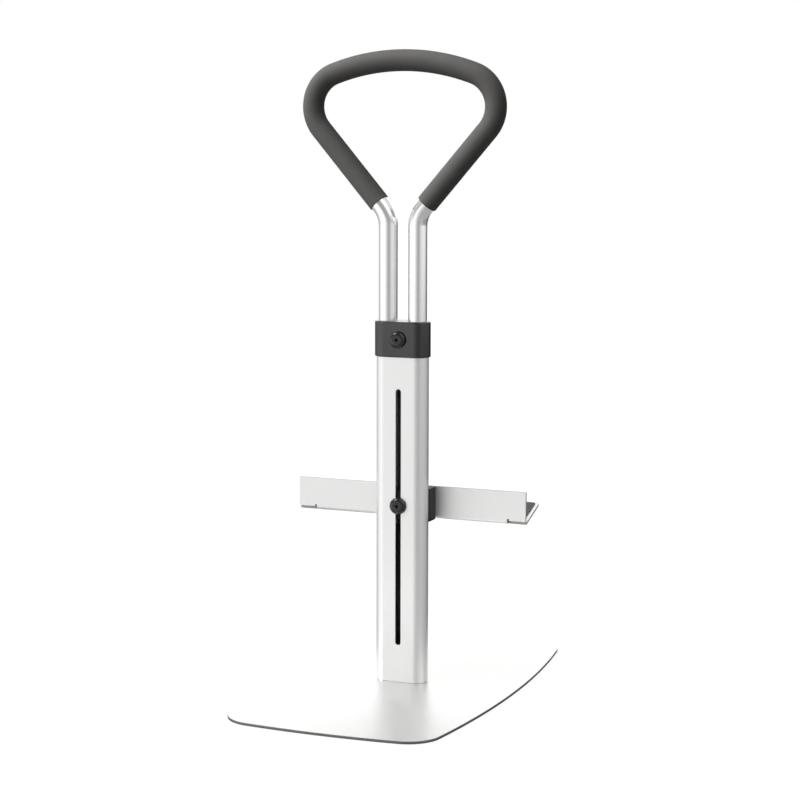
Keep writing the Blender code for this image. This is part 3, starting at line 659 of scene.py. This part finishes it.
# Column
# One aluminium extrusion with half-round ends and a round channel for each leg, cut to length, slotted
# front and rear, and anodised to a satin. Its die has left very fine lines along it.
RIB_OFFSET = 0.010
LEG_SPACING = 0.046
TUBE_DIAMETER = 0.028
SLOT_WIDTH = 0.0084
SLOT_ABOVE_FOOT = 0.0555
SLOT_BELOW_TOP = 0.095
COLUMN_EDGE = 0.0004
# The bore's faces are further in from the outer skin than the rounding of the edges
BORE_BELOW_SKIN = 1.2 * COLUMN_EDGE
CLAMP_SHANK = 0.008
FOOT_SCREW_HEIGHT = 0.020
SMALL_SHANK = 0.005
COLUMN_SILVER = (0.81, 0.81, 0.805)
COLUMN_ROUGHNESS = 0.38
COLUMN_LINE_WIDTH = 0.0012
COLUMN_LINE_DEPTH = 0.000004
LINE_STRETCH = 0.01
LINE_TINT_SHARE = 0.6
LINE_RELIEF_SHARE = 0.7
LINE_DARKER = 0.965
LINE_DULLER = 0.05
SATIN_GRAIN = 0.0005
CLOUD_SIZE = 0.08
# Painted shade: the bore's faces are painted dark and dull for the shade inside the column
BORE_PAINTED_SHADE = (0.17, 0.17, 0.167)
BORE_ROUGHNESS = 0.7
# A face with a smaller share of its normal along an axis is turned away from that axis
TURNED_AWAY = 0.7
UPRIGHT = Euler((math.pi / 2, 0, 0)).to_matrix().to_4x4()
ROUND_TO_REAR = Matrix.Rotation(-math.pi / 2, 4, "X")


def obround(width, depth):
    """Outline with half-round ends, its long side along X."""
    end = (width - depth) / 2
    right = arc((end, 0), depth / 2, -math.pi / 2, math.pi / 2)
    return right + [(-x, -y) for x, y in right]


def channel_outline():
    """The column's bore: a round channel for each leg and the wide one between them."""
    radius = TUBE_DIAMETER / 2 + FIT_GAP
    leg = LEG_SPACING / 2
    rib = leg - RIB_OFFSET
    opening = math.acos((rib - leg) / radius)
    half = [(rib, -radius), *arc((leg, 0), radius, -opening, opening), (rib, radius)]
    return half + [(-x, -y) for x, y in half]


def drill(radius, length, place):
    """A round cutter whose length is centred on its place."""
    half = length / 2
    return turned("drill", [(0, half), (radius, half), (radius, -half), (0, -half)], place)


def screw_hole(shank, length, centre):
    """A cutter for a screw's hole along Y, with the gap round its shank."""
    return drill(shank / 2 + FIT_GAP, length, Matrix.Translation(centre) @ UPRIGHT)


def lined_aluminium(name, colour, roughness, line_width, line_depth):
    """Anodised aluminium with fine lines along Z, and painted shade, a dull dark colour, on faces marked as
    a bore.
    """
    material, start = new_material(name)
    bore = marked(start, "bore")
    lines = grain(start, line_width, (1, 1, LINE_STRETCH), detail=4.0)
    satin = grain(start, SATIN_GRAIN)
    cloudy = grain(start, CLOUD_SIZE, detail=1.0)
    uneven = mixed(lines, cloudy, LINE_TINT_SHARE)
    tint = blend_colours(start, uneven, colour, scaled(colour, LINE_DARKER))
    # The bore's faces take the painted shade colour
    tint = blend_colours(start, bore, tint, BORE_PAINTED_SHADE)
    relief = bump(start, mixed(lines, satin, LINE_RELIEF_SHARE), line_depth)
    dullness = roughness + LINE_DULLER * lines + (BORE_ROUGHNESS - roughness) * bore
    principled(start, Base_Color=tint, Metallic=1 - bore, Roughness=dullness, Normal=relief)
    return material


def is_bore(face):
    """True on the column's channels and on the slot's walls, false on its outer skin and its ends."""
    beside = max(abs(face.center.x) - LEG_SPACING / 2, 0)
    below_skin = column_size.y / 2 - math.hypot(beside, face.center.y)
    return below_skin > BORE_BELOW_SKIN and abs(face.normal.z) < TURNED_AWAY


column_low, column_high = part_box("column")
column_size = column_high - column_low
column_place = at_height((column_low.z + column_high.z) / 2)
section = [obround(column_size.x, column_size.y), channel_outline()]
column = extrude("column_extrusion", section, column_size.z, column_place)
slot_foot = column_low.z + SLOT_ABOVE_FOOT
slot_top = column_high.z - SLOT_BELOW_TOP
slot_loop = [(y, x) for x, y in obround(slot_top - slot_foot, SLOT_WIDTH)]
slot_place = at_height((slot_foot + slot_top) / 2) @ UPRIGHT
collar_low, collar_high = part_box("collar")
collar_middle = (collar_low.z + collar_high.z) / 2
foot_level = column_low.z + FOOT_SCREW_HEIGHT
cuts = [extrude("slot", [slot_loop], 2 * column_size.y, slot_place)]
cuts.append(screw_hole(CLAMP_SHANK, column_size.y, (0, column_low.y, collar_middle)))
for x in (-SCREW_SPACING / 2, SCREW_SPACING / 2):
    cuts.append(screw_hole(SMALL_SHANK, column_size.y / 2, (x, column_high.y, foot_level)))
combine(column, cuts)
round_edges(column, COLUMN_EDGE, segments=3)
shade(column)
mark_faces(column, "bore", is_bore)
column_satin = lined_aluminium("column_satin", COLUMN_SILVER, COLUMN_ROUGHNESS, COLUMN_LINE_WIDTH,
                               COLUMN_LINE_DEPTH)
column.data.materials.append(column_satin)
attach(column, "base")
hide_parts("column")


# Foot block and foot screws
# A zinc plated steel block fills the column's foot and takes the plate's screws from below, and two
# black M5 screws from behind.
SMALL_HEAD = 0.0095
SMALL_HEAD_HEIGHT = 0.0027
SMALL_HEAD_RIM = 0.00054
SMALL_HEAD_FLAT = 0.00608
SMALL_LENGTH = 0.010
SMALL_SOCKET_WIDTH = 0.003
SMALL_SOCKET_DEPTH = 0.0015
SMALL_SIDES = 40
SMALL_DOME_STEPS = 8
SCREW_BLACK = (0.008, 0.008, 0.0085)
SCREW_ROUGHNESS = 0.11
SCREW_BLOOM_SIZE = 0.002
SCREW_BLOOM_PALER = 1.8
SCREW_BLOOM_DULLER = 0.05
SCREW_GRAIN = 0.0003
SCREW_RELIEF = 0.000005
SCREW_IOR = 1.54
# Painted shade: the socket's faces are painted near black for the shade inside the recess
SOCKET_PAINTED_SHADE = (0.001, 0.001, 0.001)
SOCKET_DULLER = 0.7


def paint_node(name, material):
    """Gives a CAD node that stays in view its material."""
    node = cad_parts[name]
    node.data.materials.clear()
    node.data.materials.append(material)


def mark_socket(screw, width, top):
    """Marks the faces inside a hexagon socket, on a screw that lies along local Z."""
    corner = to_corner(width) + WELD

    def inside(face):
        return math.hypot(face.center.x, face.center.y) < corner and 0 < face.center.z < top - WELD

    mark_faces(screw, "socket", inside)


def dome(flat, head, rim, height, steps):
    """A domed head's profile, from the edge of its flat down to the top of its rim."""
    angles = [math.pi / 2 * i / steps for i in range(steps + 1)]
    return [(flat + (head - flat) * math.sin(a), rim + (height - rim) * math.cos(a)) for a in angles]


def button_head():
    """A small dome-headed screw along local Z, with the underside of its head at height 0."""
    head = SMALL_HEAD / 2
    shank = SMALL_SHANK / 2
    profile = [(0, SMALL_HEAD_HEIGHT),
               *dome(SMALL_HEAD_FLAT / 2, head, SMALL_HEAD_RIM, SMALL_HEAD_HEIGHT, SMALL_DOME_STEPS),
               (head, 0), (shank, 0), (shank, -SMALL_LENGTH), (0, -SMALL_LENGTH)]
    screw = turned("button_head", profile, steps=SMALL_SIDES)
    combine(screw, [hex_socket(SMALL_SOCKET_WIDTH, SMALL_SOCKET_DEPTH, SMALL_HEAD_HEIGHT)])
    mark_socket(screw, SMALL_SOCKET_WIDTH, SMALL_HEAD_HEIGHT)
    return screw


def black_oxide(name):
    """Blackened steel: nearly black, half bright, a dry bloom here and there, and a socket painted black as
    shade.
    """
    material, start = new_material(name)
    socket = marked(start, "socket")
    bloom = grain(start, SCREW_BLOOM_SIZE, detail=4.0)
    colour = blend_colours(start, bloom, SCREW_BLACK, scaled(SCREW_BLACK, SCREW_BLOOM_PALER))
    # The socket's faces take the painted shade colour
    colour = blend_colours(start, socket, colour, SOCKET_PAINTED_SHADE)
    relief = bump(start, grain(start, SCREW_GRAIN), SCREW_RELIEF)
    dullness = SCREW_ROUGHNESS + SCREW_BLOOM_DULLER * bloom + SOCKET_DULLER * socket
    principled(start, Base_Color=colour, Roughness=dullness, IOR=SCREW_IOR, Normal=relief)
    return material


blackened_steel = black_oxide("blackened_steel")
paint_node("foot_block", clear_zinc)
foot_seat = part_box("foot_screw_left")[1].y - SMALL_HEAD_HEIGHT
foot_place = Matrix.Translation((0, foot_seat, foot_level)) @ ROUND_TO_REAR
foot_screws = set_out("foot_screws", button_head(), blackened_steel, 2, 1, SCREW_SPACING, 0, foot_place)
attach(foot_screws, "base")
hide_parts("foot_screw_left", "foot_screw_right")


# Collar
# A cap of black anodised aluminium, machined with rounded rims, that sits over the column's top. Each
# leg comes up through a close hole in it, and its screw draws two wedges together between the legs.
COLLAR_WALL = 0.0022
COLLAR_TOP_WALL = 0.003
COLLAR_ROUNDING = 0.0018
COLLAR_BLACK = (0.002, 0.002, 0.002)
COLLAR_ROUGHNESS = 0.11
COLLAR_CLOUD_SIZE = 0.03
COLLAR_CLOUD_PALER = 1.6
COLLAR_GRAIN = 0.0004
COLLAR_GRAIN_DULLER = 0.04
COLLAR_RELIEF = 0.000006
COLLAR_IOR = 1.70


def black_anodised(name):
    """Satin black anodising: a very fine grain and a slightly cloudy black."""
    material, start = new_material(name)
    fine = grain(start, COLLAR_GRAIN)
    cloudy = grain(start, COLLAR_CLOUD_SIZE, detail=2.0)
    colour = blend_colours(start, cloudy, COLLAR_BLACK, scaled(COLLAR_BLACK, COLLAR_CLOUD_PALER))
    relief = bump(start, fine, COLLAR_RELIEF)
    dullness = COLLAR_ROUGHNESS + COLLAR_GRAIN_DULLER * fine
    principled(start, Base_Color=colour, Roughness=dullness, IOR=COLLAR_IOR, Normal=relief)
    return material


collar_size = collar_high - collar_low
collar_place = at_height(collar_middle)
collar = extrude("collar_cap", [obround(collar_size.x, collar_size.y)], collar_size.z, collar_place)
round_edges(collar, COLLAR_ROUNDING, segments=6)
inside = obround(collar_size.x - 2 * COLLAR_WALL, collar_size.y - 2 * COLLAR_WALL)
inside_place = at_height(-COLLAR_TOP_WALL) @ collar_place
cuts = [extrude("collar_inside", [inside], collar_size.z, inside_place)]
for x in (-LEG_SPACING / 2, LEG_SPACING / 2):
    leg_place = Matrix.Translation((x, 0, collar_high.z))
    cuts.append(drill(TUBE_DIAMETER / 2 + FIT_GAP, 4 * COLLAR_TOP_WALL, leg_place))
cuts.append(screw_hole(CLAMP_SHANK, collar_size.y / 2, (0, collar_low.y, collar_middle)))
combine(collar, cuts)
shade(collar)
collar_satin = black_anodised("collar_satin")
collar.data.materials.append(collar_satin)
paint_node("clamp_wedge_front", clear_zinc)
paint_node("clamp_wedge_rear", clear_zinc)
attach(collar, "base")
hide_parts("collar")


# Collar screw
# A blackened M8 screw with a wide domed head and a 5 mm hexagon socket in a small sunk flat. It goes
# through the collar and the column into the wedges. The bracket's clamp screw has the same head.
CLAMP_HEAD_HEIGHT = 0.0065
CLAMP_HEAD_RIM = 0.0014
CLAMP_HEAD_FLAT = 0.012
CLAMP_FLAT_SINK = 0.0007
CLAMP_SOCKET_WIDTH = 0.005
CLAMP_SOCKET_DEPTH = 0.004
CLAMP_SIDES = 72
CLAMP_DOME_STEPS = 14


def clamp_head(length, head_diameter):
    """A domed screw along local Z with the underside of its head at height 0."""
    flat = CLAMP_HEAD_FLAT / 2
    head = head_diameter / 2
    shank = CLAMP_SHANK / 2
    sink = CLAMP_FLAT_SINK
    profile = [(0, CLAMP_HEAD_HEIGHT - sink), (flat - 2 * sink, CLAMP_HEAD_HEIGHT - sink),
               (flat - sink, CLAMP_HEAD_HEIGHT),
               *dome(flat, head, CLAMP_HEAD_RIM, CLAMP_HEAD_HEIGHT, CLAMP_DOME_STEPS),
               (head, 0), (shank, 0), (shank, -length), (0, -length)]
    screw = turned("clamp_head", profile, steps=CLAMP_SIDES)
    combine(screw, [hex_socket(CLAMP_SOCKET_WIDTH, CLAMP_SOCKET_DEPTH, CLAMP_HEAD_HEIGHT)])
    mark_socket(screw, CLAMP_SOCKET_WIDTH, CLAMP_HEAD_HEIGHT - CLAMP_FLAT_SINK)
    return screw


collar_screw_low, collar_screw_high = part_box("collar_screw")
head_diameter = collar_screw_high.x - collar_screw_low.x
seat = collar_screw_low.y + CLAMP_HEAD_HEIGHT
collar_screw = clamp_head(collar_screw_high.y - seat, head_diameter)
collar_screw.name = "collar_clamp_screw"
collar_screw.data.transform(Matrix.Translation((0, seat, collar_middle)) @ UPRIGHT)
shade(collar_screw)
collar_screw.data.materials.append(blackened_steel)
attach(collar_screw, "collar_clamp")
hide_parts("collar_screw")


# Handle
# One drawn aluminium tube of 28 mm, bent to a loop whose two flares run down into parallel legs,
# polished to a fine satin and clear anodised. Moulded plugs close the legs' lower ends.
TUBE_WALL = 0.002
LEG_BEND_RADIUS = 0.042
FLARE_ANGLE = math.radians(41)
CORNER_RADIUS = 0.050
CROWN_RADIUS = 0.320
LOOP_HALF_WIDTH = 0.141
HANDLE_SETTING = 0.138
TUBE_SIDES = 96
TUBE_EDGE = 0.0003
# Least angle of the edges that are rounded at a tube's end, in degrees
TUBE_END_ANGLE = 50
TUBE_SILVER = (0.88, 0.88, 0.875)
TUBE_ROUGHNESS = 0.20
TUBE_LINE_WIDTH = 0.0008
TUBE_LINE_DEPTH = 0.000002
PLASTIC_BLACK = (0.016, 0.016, 0.016)
PLASTIC_ROUGHNESS = 0.44
PLASTIC_GRAIN = 0.0004
PLASTIC_GRAIN_PALER = 1.6
PLASTIC_GRAIN_DULLER = 0.14
PLASTIC_RELIEF = 0.00003
PLASTIC_SHINE = 0.3


def half_loop(leg_length, grip_start=None):
    """The centreline from the crown down one side, to the leg's end or to where the grip starts."""
    sine = math.sin(FLARE_ANGLE)
    cosine = math.cos(FLARE_ANGLE)
    leg = LEG_SPACING / 2
    bend_end = Vector((leg + LEG_BEND_RADIUS * (1 - cosine), LEG_BEND_RADIUS * sine))
    corner_x = LOOP_HALF_WIDTH - CORNER_RADIUS
    flare_length = (corner_x + CORNER_RADIUS * cosine - bend_end.x) / sine
    corner_z = bend_end.y + flare_length * cosine + CORNER_RADIUS * sine
    reach = CROWN_RADIUS - CORNER_RADIUS
    tilt = math.acos(corner_x / reach)
    crown_z = corner_z - reach * math.sin(tilt)
    path = arc((0, crown_z), CROWN_RADIUS, math.pi / 2, tilt)
    path += arc((corner_x, corner_z), CORNER_RADIUS, tilt, -FLARE_ANGLE)[1:]
    if grip_start is not None:
        grip_end = bend_end + Vector((sine, cosine)) * grip_start
        return path + [tuple(grip_end)]
    path += arc((leg + LEG_BEND_RADIUS, 0), LEG_BEND_RADIUS, math.pi - FLARE_ANGLE, math.pi)
    return path + [(leg, -leg_length)]


def centreline(name, half, level):
    """The whole loop as a curve, from one side's end over the crown to the other's."""
    points = [(-x, z) for x, z in reversed(half[1:])] + half
    curve = bpy.data.curves.new(name, "CURVE")
    curve.dimensions = "3D"
    add_spline(curve, [(x, 0, level + z) for x, z in points])
    return add_object(name, curve)


def sweep_tree(material):
    """A round skin along a centreline."""
    tree, start, given = geometry_tree("sweep", {"Path": "Object", "Radius": "Float", "Sides": "Int"})
    path = start.node("GeometryNodeObjectInfo", inputs={"Object": given["Path"]}, output="Geometry")
    ring = start.node("GeometryNodeCurvePrimitiveCircle",
                      inputs={"Radius": given["Radius"], "Resolution": given["Sides"]})
    skin = start.node("GeometryNodeCurveToMesh", inputs={"Curve": path, "Profile Curve": ring})
    end_tree(start, skin, material)
    return tree


def pipe(name, path, radius, wall, edge, material):
    """A tube along a path, which is then cleared away: an open skin, given its wall inwards."""
    values = {"Path": path, "Radius": radius, "Sides": TUBE_SIDES}
    thing = run_tree(name, sweep_tree(material), values)
    bpy.data.curves.remove(path.data)
    tidy(thing.data, flatten=False)
    solidify = thing.modifiers.new("wall", "SOLIDIFY")
    solidify.thickness = wall
    solidify.offset = -1
    solidify.use_even_offset = True
    settle(thing)
    round_edges(thing, edge, segments=3, angle=TUBE_END_ANGLE)
    shade(thing)
    return thing


def moulded_plastic(name, shine):
    """Glass-filled black plastic with a fine spark-eroded grain."""
    material, start = new_material(name)
    fine = grain(start, PLASTIC_GRAIN)
    colour = blend_colours(start, fine, PLASTIC_BLACK, scaled(PLASTIC_BLACK, PLASTIC_GRAIN_PALER))
    relief = bump(start, fine, PLASTIC_RELIEF)
    dullness = PLASTIC_ROUGHNESS + PLASTIC_GRAIN_DULLER * fine
    principled(start, Base_Color=colour, Roughness=dullness, Specular_IOR_Level=shine, Normal=relief)
    return material


handle_level = collar_high.z + HANDLE_SETTING
leg_length = handle_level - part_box("handle_tube")[0].z
tube_satin = lined_aluminium("tube_satin", TUBE_SILVER, TUBE_ROUGHNESS, TUBE_LINE_WIDTH, TUBE_LINE_DEPTH)
tube_path = centreline("tube_path", half_loop(leg_length), handle_level)
handle_loop = pipe("handle_loop", tube_path, TUBE_DIAMETER / 2, TUBE_WALL, TUBE_EDGE, tube_satin)
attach(handle_loop, "handle")
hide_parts("handle_tube")
black_plastic = moulded_plastic("black_plastic", PLASTIC_SHINE)
paint_node("leg_plug_left", black_plastic)
paint_node("leg_plug_right", black_plastic)


# Grip
# A soft sleeve of matt dark grey rubber, stretched over the loop from one flare's foot round to the
# other's. Its ends are cut square, with a softened lip.
GRIP_THICKNESS = 0.0013
GRIP_START = 0.0055
GRIP_LIP = 0.0005
GRIP_GREY = (0.110, 0.108, 0.104)
GRIP_GRAIN = 0.0007
GRIP_RELIEF = 0.00005
GRIP_ROUGHNESS = 0.70
GRIP_SHINE = 0.25

grip_rubber = rubber("grip_rubber", GRIP_GREY, GRIP_GRAIN, GRIP_RELIEF, GRIP_ROUGHNESS, GRIP_SHINE)
grip_path = centreline("grip_path", half_loop(0, GRIP_START), handle_level)
grip_radius = TUBE_DIAMETER / 2 + FIT_GAP + GRIP_THICKNESS
grip = pipe("grip_cover", grip_path, grip_radius, GRIP_THICKNESS, GRIP_LIP, grip_rubber)
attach(grip, "handle")
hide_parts("grip_sleeve")


# Bracket
# One blank of 4 mm aluminium sheet, bent to an angle with a small relief at each end of the bend, so
# that the flange runs out in two ears. It is silver anodised after bending.
SHEET = 0.004
BEND_RADIUS = 0.001
TONGUE_TAPER = 0.0325
TONGUE_CORNER_RADIUS = 0.006
EAR_LENGTH = 0.0285
RELIEF_WIDTH = 0.003
RELIEF_DEPTH = 0.0025
SADDLE_SCREW_SPACING = 0.056
SHEET_EDGE = 0.0003
BRACKET_ROUGHNESS = 0.48
# Painted shade: the bracket's cut edges are painted this grey for the shade and dark surround they mirror
BRACKET_EDGE_PAINTED_SHADE = (0.45, 0.45, 0.44)
# Least share of a normal along X on the bracket's side edges
SIDE_EDGE = 0.3
ALONG_X = Euler((math.pi / 2, 0, math.pi / 2)).to_matrix().to_4x4()

bracket_low, bracket_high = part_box("bracket")
flange_front = bracket_low.y
flange_bottom = bracket_low.z
flange_height = bracket_high.z - bracket_low.z
tongue_depth = bracket_high.y - bracket_low.y
bracket_width = bracket_high.x - bracket_low.x
bracket_level = (bracket_low.z + bracket_high.z) / 2
bend_outside = BEND_RADIUS + SHEET
bend_rear = flange_front + bend_outside
bend_top = flange_bottom + bend_outside
bend_end = bracket_width / 2 - EAR_LENGTH


def tongue_side(inset, front):
    """The tongue's right side seen from above, from its front edge round to its rear corner."""
    rear = flange_front + tongue_depth
    taper = math.atan2(TONGUE_TAPER, rear - bend_rear)
    slope = math.tan(taper)
    radius = TONGUE_CORNER_RADIUS
    widest = bracket_width / 2 - inset / math.cos(taper)
    corner_y = rear - inset - radius
    side_at_corner = widest - (corner_y - bend_rear) * slope
    corner = (side_at_corner - radius / math.cos(taper), corner_y)
    side_at_front = widest - max(front - bend_rear, 0) * slope
    return [(side_at_front, front)] + arc(corner, radius, taper, math.pi / 2)


def angle_profile():
    """The bracket's section: front to rear along X and upwards along Y."""
    outside = arc((bend_outside, bend_outside), bend_outside, math.pi, 1.5 * math.pi)
    inside = arc((bend_outside, bend_outside), BEND_RADIUS, 1.5 * math.pi, math.pi)
    return [(0, flange_height), *outside, (tongue_depth, 0), (tongue_depth, SHEET), *inside,
            (SHEET, flange_height)]


def corner_cut(first, last, extra):
    """A cutter that takes the bend away between two places along the flange, and a little more."""
    reach = bend_outside + extra
    side = reach + SHEET
    half_x = abs(last - first) / 2
    half_y = side / 2
    loop = [(-half_x, -half_y), (half_x, -half_y), (half_x, half_y), (-half_x, half_y)]
    centre = ((first + last) / 2, flange_front + (reach - SHEET) / 2, flange_bottom + (reach - SHEET) / 2)
    return extrude("corner_cut", [loop], side, Matrix.Translation(centre))


def is_cut_edge(face):
    """True on the cut edges of the bent sheet, false on its broad faces and its bend."""
    x, y, z = (abs(part) for part in face.normal)
    if x > SIDE_EDGE:
        return True
    if face.center.y > bend_rear:
        return z < TURNED_AWAY
    if face.center.z > bend_top:
        return y < TURNED_AWAY
    return abs(face.center.x) > bend_end - SHEET_EDGE and y < TURNED_AWAY


bracket_place = Matrix.Translation((0, flange_front, flange_bottom)) @ ALONG_X
bracket = extrude("seat_bracket", [angle_profile()], bracket_width, bracket_place)
beside = bracket_width / 2 + SHEET
blank_side = [(beside, flange_front - SHEET), (beside, bend_rear), *tongue_side(0.0, bend_rear)]
blank = extrude("bracket_blank", [mirrored(blank_side)], 4 * flange_height, at_height(bracket_level))
combine(bracket, [blank], "INTERSECT")
cuts = []
for side in (-1, 1):
    cuts.append(corner_cut(side * bend_end, side * bracket_width, 0.0))
    cuts.append(corner_cut(side * bend_end, side * (bend_end + RELIEF_WIDTH), RELIEF_DEPTH))
    hole_centre = (side * SADDLE_SCREW_SPACING / 2, flange_front, bracket_level)
    cuts.append(screw_hole(SMALL_SHANK, 4 * SHEET, hole_centre))
cuts.append(screw_hole(CLAMP_SHANK, 4 * SHEET, (0, flange_front, bracket_level)))
combine(bracket, cuts)
round_edges(bracket, SHEET_EDGE, segments=2)
shade(bracket)
mark_faces(bracket, "cut_edge", is_cut_edge)
bracket_satin = satin_sheet("bracket_satin", (ROLLED_STRETCH, 1, 1), BRACKET_ROUGHNESS, BRACKET_EDGE_PAINTED_SHADE)
bracket.data.materials.append(bracket_satin)
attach(bracket, "bracket")
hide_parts("bracket")


# Anti-slip pad
# A thin sheet of black rubber with a fine grain, glued on the tongue a few millimetres inside its
# edges, so that the seat doesn't slide on it.
PAD_INSET = 0.005
PAD_EDGE = 0.0004
TONGUE_PAD_GRAIN = 0.0012
TONGUE_PAD_RELIEF = 0.00015
TONGUE_PAD_ROUGHNESS = 0.7

pad_low, pad_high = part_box("tongue_pad")
pad_front = flange_front + SHEET + PAD_INSET
pad_middle = at_height((pad_low.z + pad_high.z) / 2)
pad_outline = mirrored(tongue_side(PAD_INSET, pad_front))
tongue_pad = extrude("anti_slip_pad", [pad_outline], pad_high.z - pad_low.z, pad_middle)
round_edges(tongue_pad, PAD_EDGE, segments=2)
shade(tongue_pad)
tongue_rubber = rubber("tongue_rubber", RUBBER_BLACK, TONGUE_PAD_GRAIN, TONGUE_PAD_RELIEF,
                       TONGUE_PAD_ROUGHNESS)
tongue_pad.data.materials.append(tongue_rubber)
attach(tongue_pad, "bracket")
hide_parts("tongue_pad")


# Saddle and slider
# A moulded black block embraces the column's rear half and spaces the flange off it. A smaller block
# of the same plastic runs in the column's middle channel, on the clamp screw.
SADDLE_ROUNDING = 0.003
SADDLE_EDGE = 0.0004
SLIDER_SHINE = 0.1

saddle_low, saddle_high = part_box("guide_saddle")
half_saddle = (saddle_high.x - saddle_low.x) / 2
saddle_corner = (half_saddle - SADDLE_ROUNDING, saddle_high.y - SADDLE_ROUNDING)
saddle_side = [(half_saddle, saddle_low.y), *arc(saddle_corner, SADDLE_ROUNDING, 0, math.pi / 2)]
saddle_place = at_height((saddle_low.z + saddle_high.z) / 2)
saddle = extrude("saddle_block", [mirrored(saddle_side)], saddle_high.z - saddle_low.z, saddle_place)
hollow = obround(column_size.x + 2 * FIT_GAP, column_size.y + 2 * FIT_GAP)
cuts = [extrude("saddle_hollow", [hollow], 2 * flange_height, saddle_place)]
cuts.append(screw_hole(CLAMP_SHANK, 2 * column_size.y, (0, saddle_high.y, bracket_level)))
for side in (-1, 1):
    hole_centre = (side * SADDLE_SCREW_SPACING / 2, saddle_high.y, bracket_level)
    cuts.append(screw_hole(SMALL_SHANK, 2 * (SMALL_LENGTH - SHEET + FIT_GAP), hole_centre))
combine(saddle, cuts)
round_edges(saddle, SADDLE_EDGE, segments=2)
shade(saddle)
saddle.data.materials.append(black_plastic)
paint_node("slot_slider", moulded_plastic("slider_plastic", SLIDER_SHINE))
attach(saddle, "bracket")
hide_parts("guide_saddle")


# Saddle screws
# Two blackened M5 screws with button heads, the same as in the column's foot. They come through the
# flange from behind and hold the saddle to it.
saddle_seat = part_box("saddle_screw_left")[1].y - SMALL_HEAD_HEIGHT
saddle_screw_place = Matrix.Translation((0, saddle_seat, bracket_level)) @ ROUND_TO_REAR
saddle_screws = set_out("saddle_screws", button_head(), blackened_steel, 2, 1, SADDLE_SCREW_SPACING, 0,
                        saddle_screw_place)
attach(saddle_screws, "bracket")
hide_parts("saddle_screw_left", "saddle_screw_right")


# Bracket nut
# A zinc plated M8 flange nut behind the flange. Its hexagon is chamfered at the top, and its washer
# flange thins out to a rim.
NUT_WIDTH = 0.013
NUT_FLANGE_RIM = 0.0008
NUT_FLANGE_THICKNESS = 0.0018
NUT_CHAMFER = 0.0012
# Below the chamfer, the crown's cutter is this much wider than the corners
NUT_CUTTER_WIDER = 1.1

nut_low, nut_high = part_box("bracket_nut")
nut_height = nut_high.y - nut_low.y
nut_flange = (nut_high.z - nut_low.z) / 2
nut_corner = to_corner(NUT_WIDTH)
nut_clear = nut_corner * NUT_CUTTER_WIDER
nut_place = Matrix.Translation((0, nut_low.y, bracket_level)) @ ROUND_TO_REAR
nut = extrude("flange_nut", [hexagon(NUT_WIDTH)], nut_height, at_height(nut_height / 2))
crown = [(0, nut_height), (NUT_WIDTH / 2 - NUT_CHAMFER / 2, nut_height),
         (nut_corner, nut_height - NUT_CHAMFER), (nut_clear, nut_height - 2 * NUT_CHAMFER),
         (nut_clear, -NUT_CHAMFER), (0, -NUT_CHAMFER)]
combine(nut, [turned("nut_crown", crown)], "INTERSECT")
brim = [(0, NUT_FLANGE_THICKNESS), (NUT_WIDTH / 2, NUT_FLANGE_THICKNESS), (nut_flange, NUT_FLANGE_RIM),
        (nut_flange, 0), (0, 0)]
combine(nut, [turned("nut_brim", brim)], "UNION")
combine(nut, [drill(CLAMP_SHANK / 2 + FIT_GAP, 4 * nut_height, Matrix.Identity(4))])
nut.data.transform(nut_place)
shade(nut, sharp_angle=25)
nut.data.materials.append(clear_zinc)
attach(nut, "bracket")
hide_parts("bracket_nut")


# Bracket screw
# The longer clamp screw runs through the slot, the slider, the saddle and the flange into the nut. Its
# thread starts short of the nut and ends a little beyond it.
THREAD_PITCH = 0.00125
THREAD_DEPTH = 0.0007
THREAD_LENGTH = 0.014
THREAD_SIDES = 48
# Rings of the thread's skin in each turn
THREAD_STEPS = 8


def thread_tree(material):
    """A rod whose skin follows a screw thread, tapered off at both ends."""
    sizes = {"Radius": "Float", "Depth": "Float", "Pitch": "Float", "Length": "Float", "Sides": "Int",
             "Steps": "Int"}
    tree, start, given = geometry_tree("thread", sizes)
    rod = start.node("GeometryNodeMeshCylinder", inputs={
        "Vertices": given["Sides"], "Side Segments": given["Steps"], "Radius": given["Radius"],
        "Depth": given["Length"]})
    place = start.node("ShaderNodeSeparateXYZ", inputs={"Vector": start.node("GeometryNodeInputPosition")})
    x, y, z = (place.other(axis) for axis in "XYZ")
    turns = z / given["Pitch"] - y.math("ARCTAN2", x) / math.tau
    groove = (turns.math("FRACT") * 2 - 1).math("ABSOLUTE")
    from_end = (given["Length"] / 2 - z.math("ABSOLUTE")) / given["Pitch"]
    cut = groove.math("MAXIMUM", 1 - from_end) * given["Depth"] / given["Radius"]
    inwards = start.node("ShaderNodeCombineXYZ", inputs={"X": x * cut * -1, "Y": y * cut * -1})
    threaded = start.node("GeometryNodeSetPosition", inputs={"Geometry": rod, "Offset": inwards})
    end_tree(start, threaded, material)
    return tree


bracket_screw_low, bracket_screw_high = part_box("bracket_screw")
seat = bracket_screw_low.y + CLAMP_HEAD_HEIGHT
shank_length = bracket_screw_high.y - seat
bracket_screw = clamp_head(shank_length - THREAD_LENGTH + THREAD_PITCH, head_diameter)
bracket_screw.name = "bracket_clamp_screw"
thread_rings = round(THREAD_LENGTH / THREAD_PITCH * THREAD_STEPS)
thread = run_tree("thread", thread_tree(blackened_steel), {
    "Radius": CLAMP_SHANK / 2, "Depth": THREAD_DEPTH, "Pitch": THREAD_PITCH, "Length": THREAD_LENGTH,
    "Sides": THREAD_SIDES, "Steps": thread_rings})
thread.data.transform(at_height(THREAD_LENGTH / 2 - shank_length))
combine(bracket_screw, [thread], "UNION")
bracket_screw.data.transform(Matrix.Translation((0, seat, bracket_level)) @ UPRIGHT)
shade(bracket_screw)
bracket_screw.data.materials.clear()
bracket_screw.data.materials.append(blackened_steel)
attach(bracket_screw, "bracket_clamp")
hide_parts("bracket_screw")
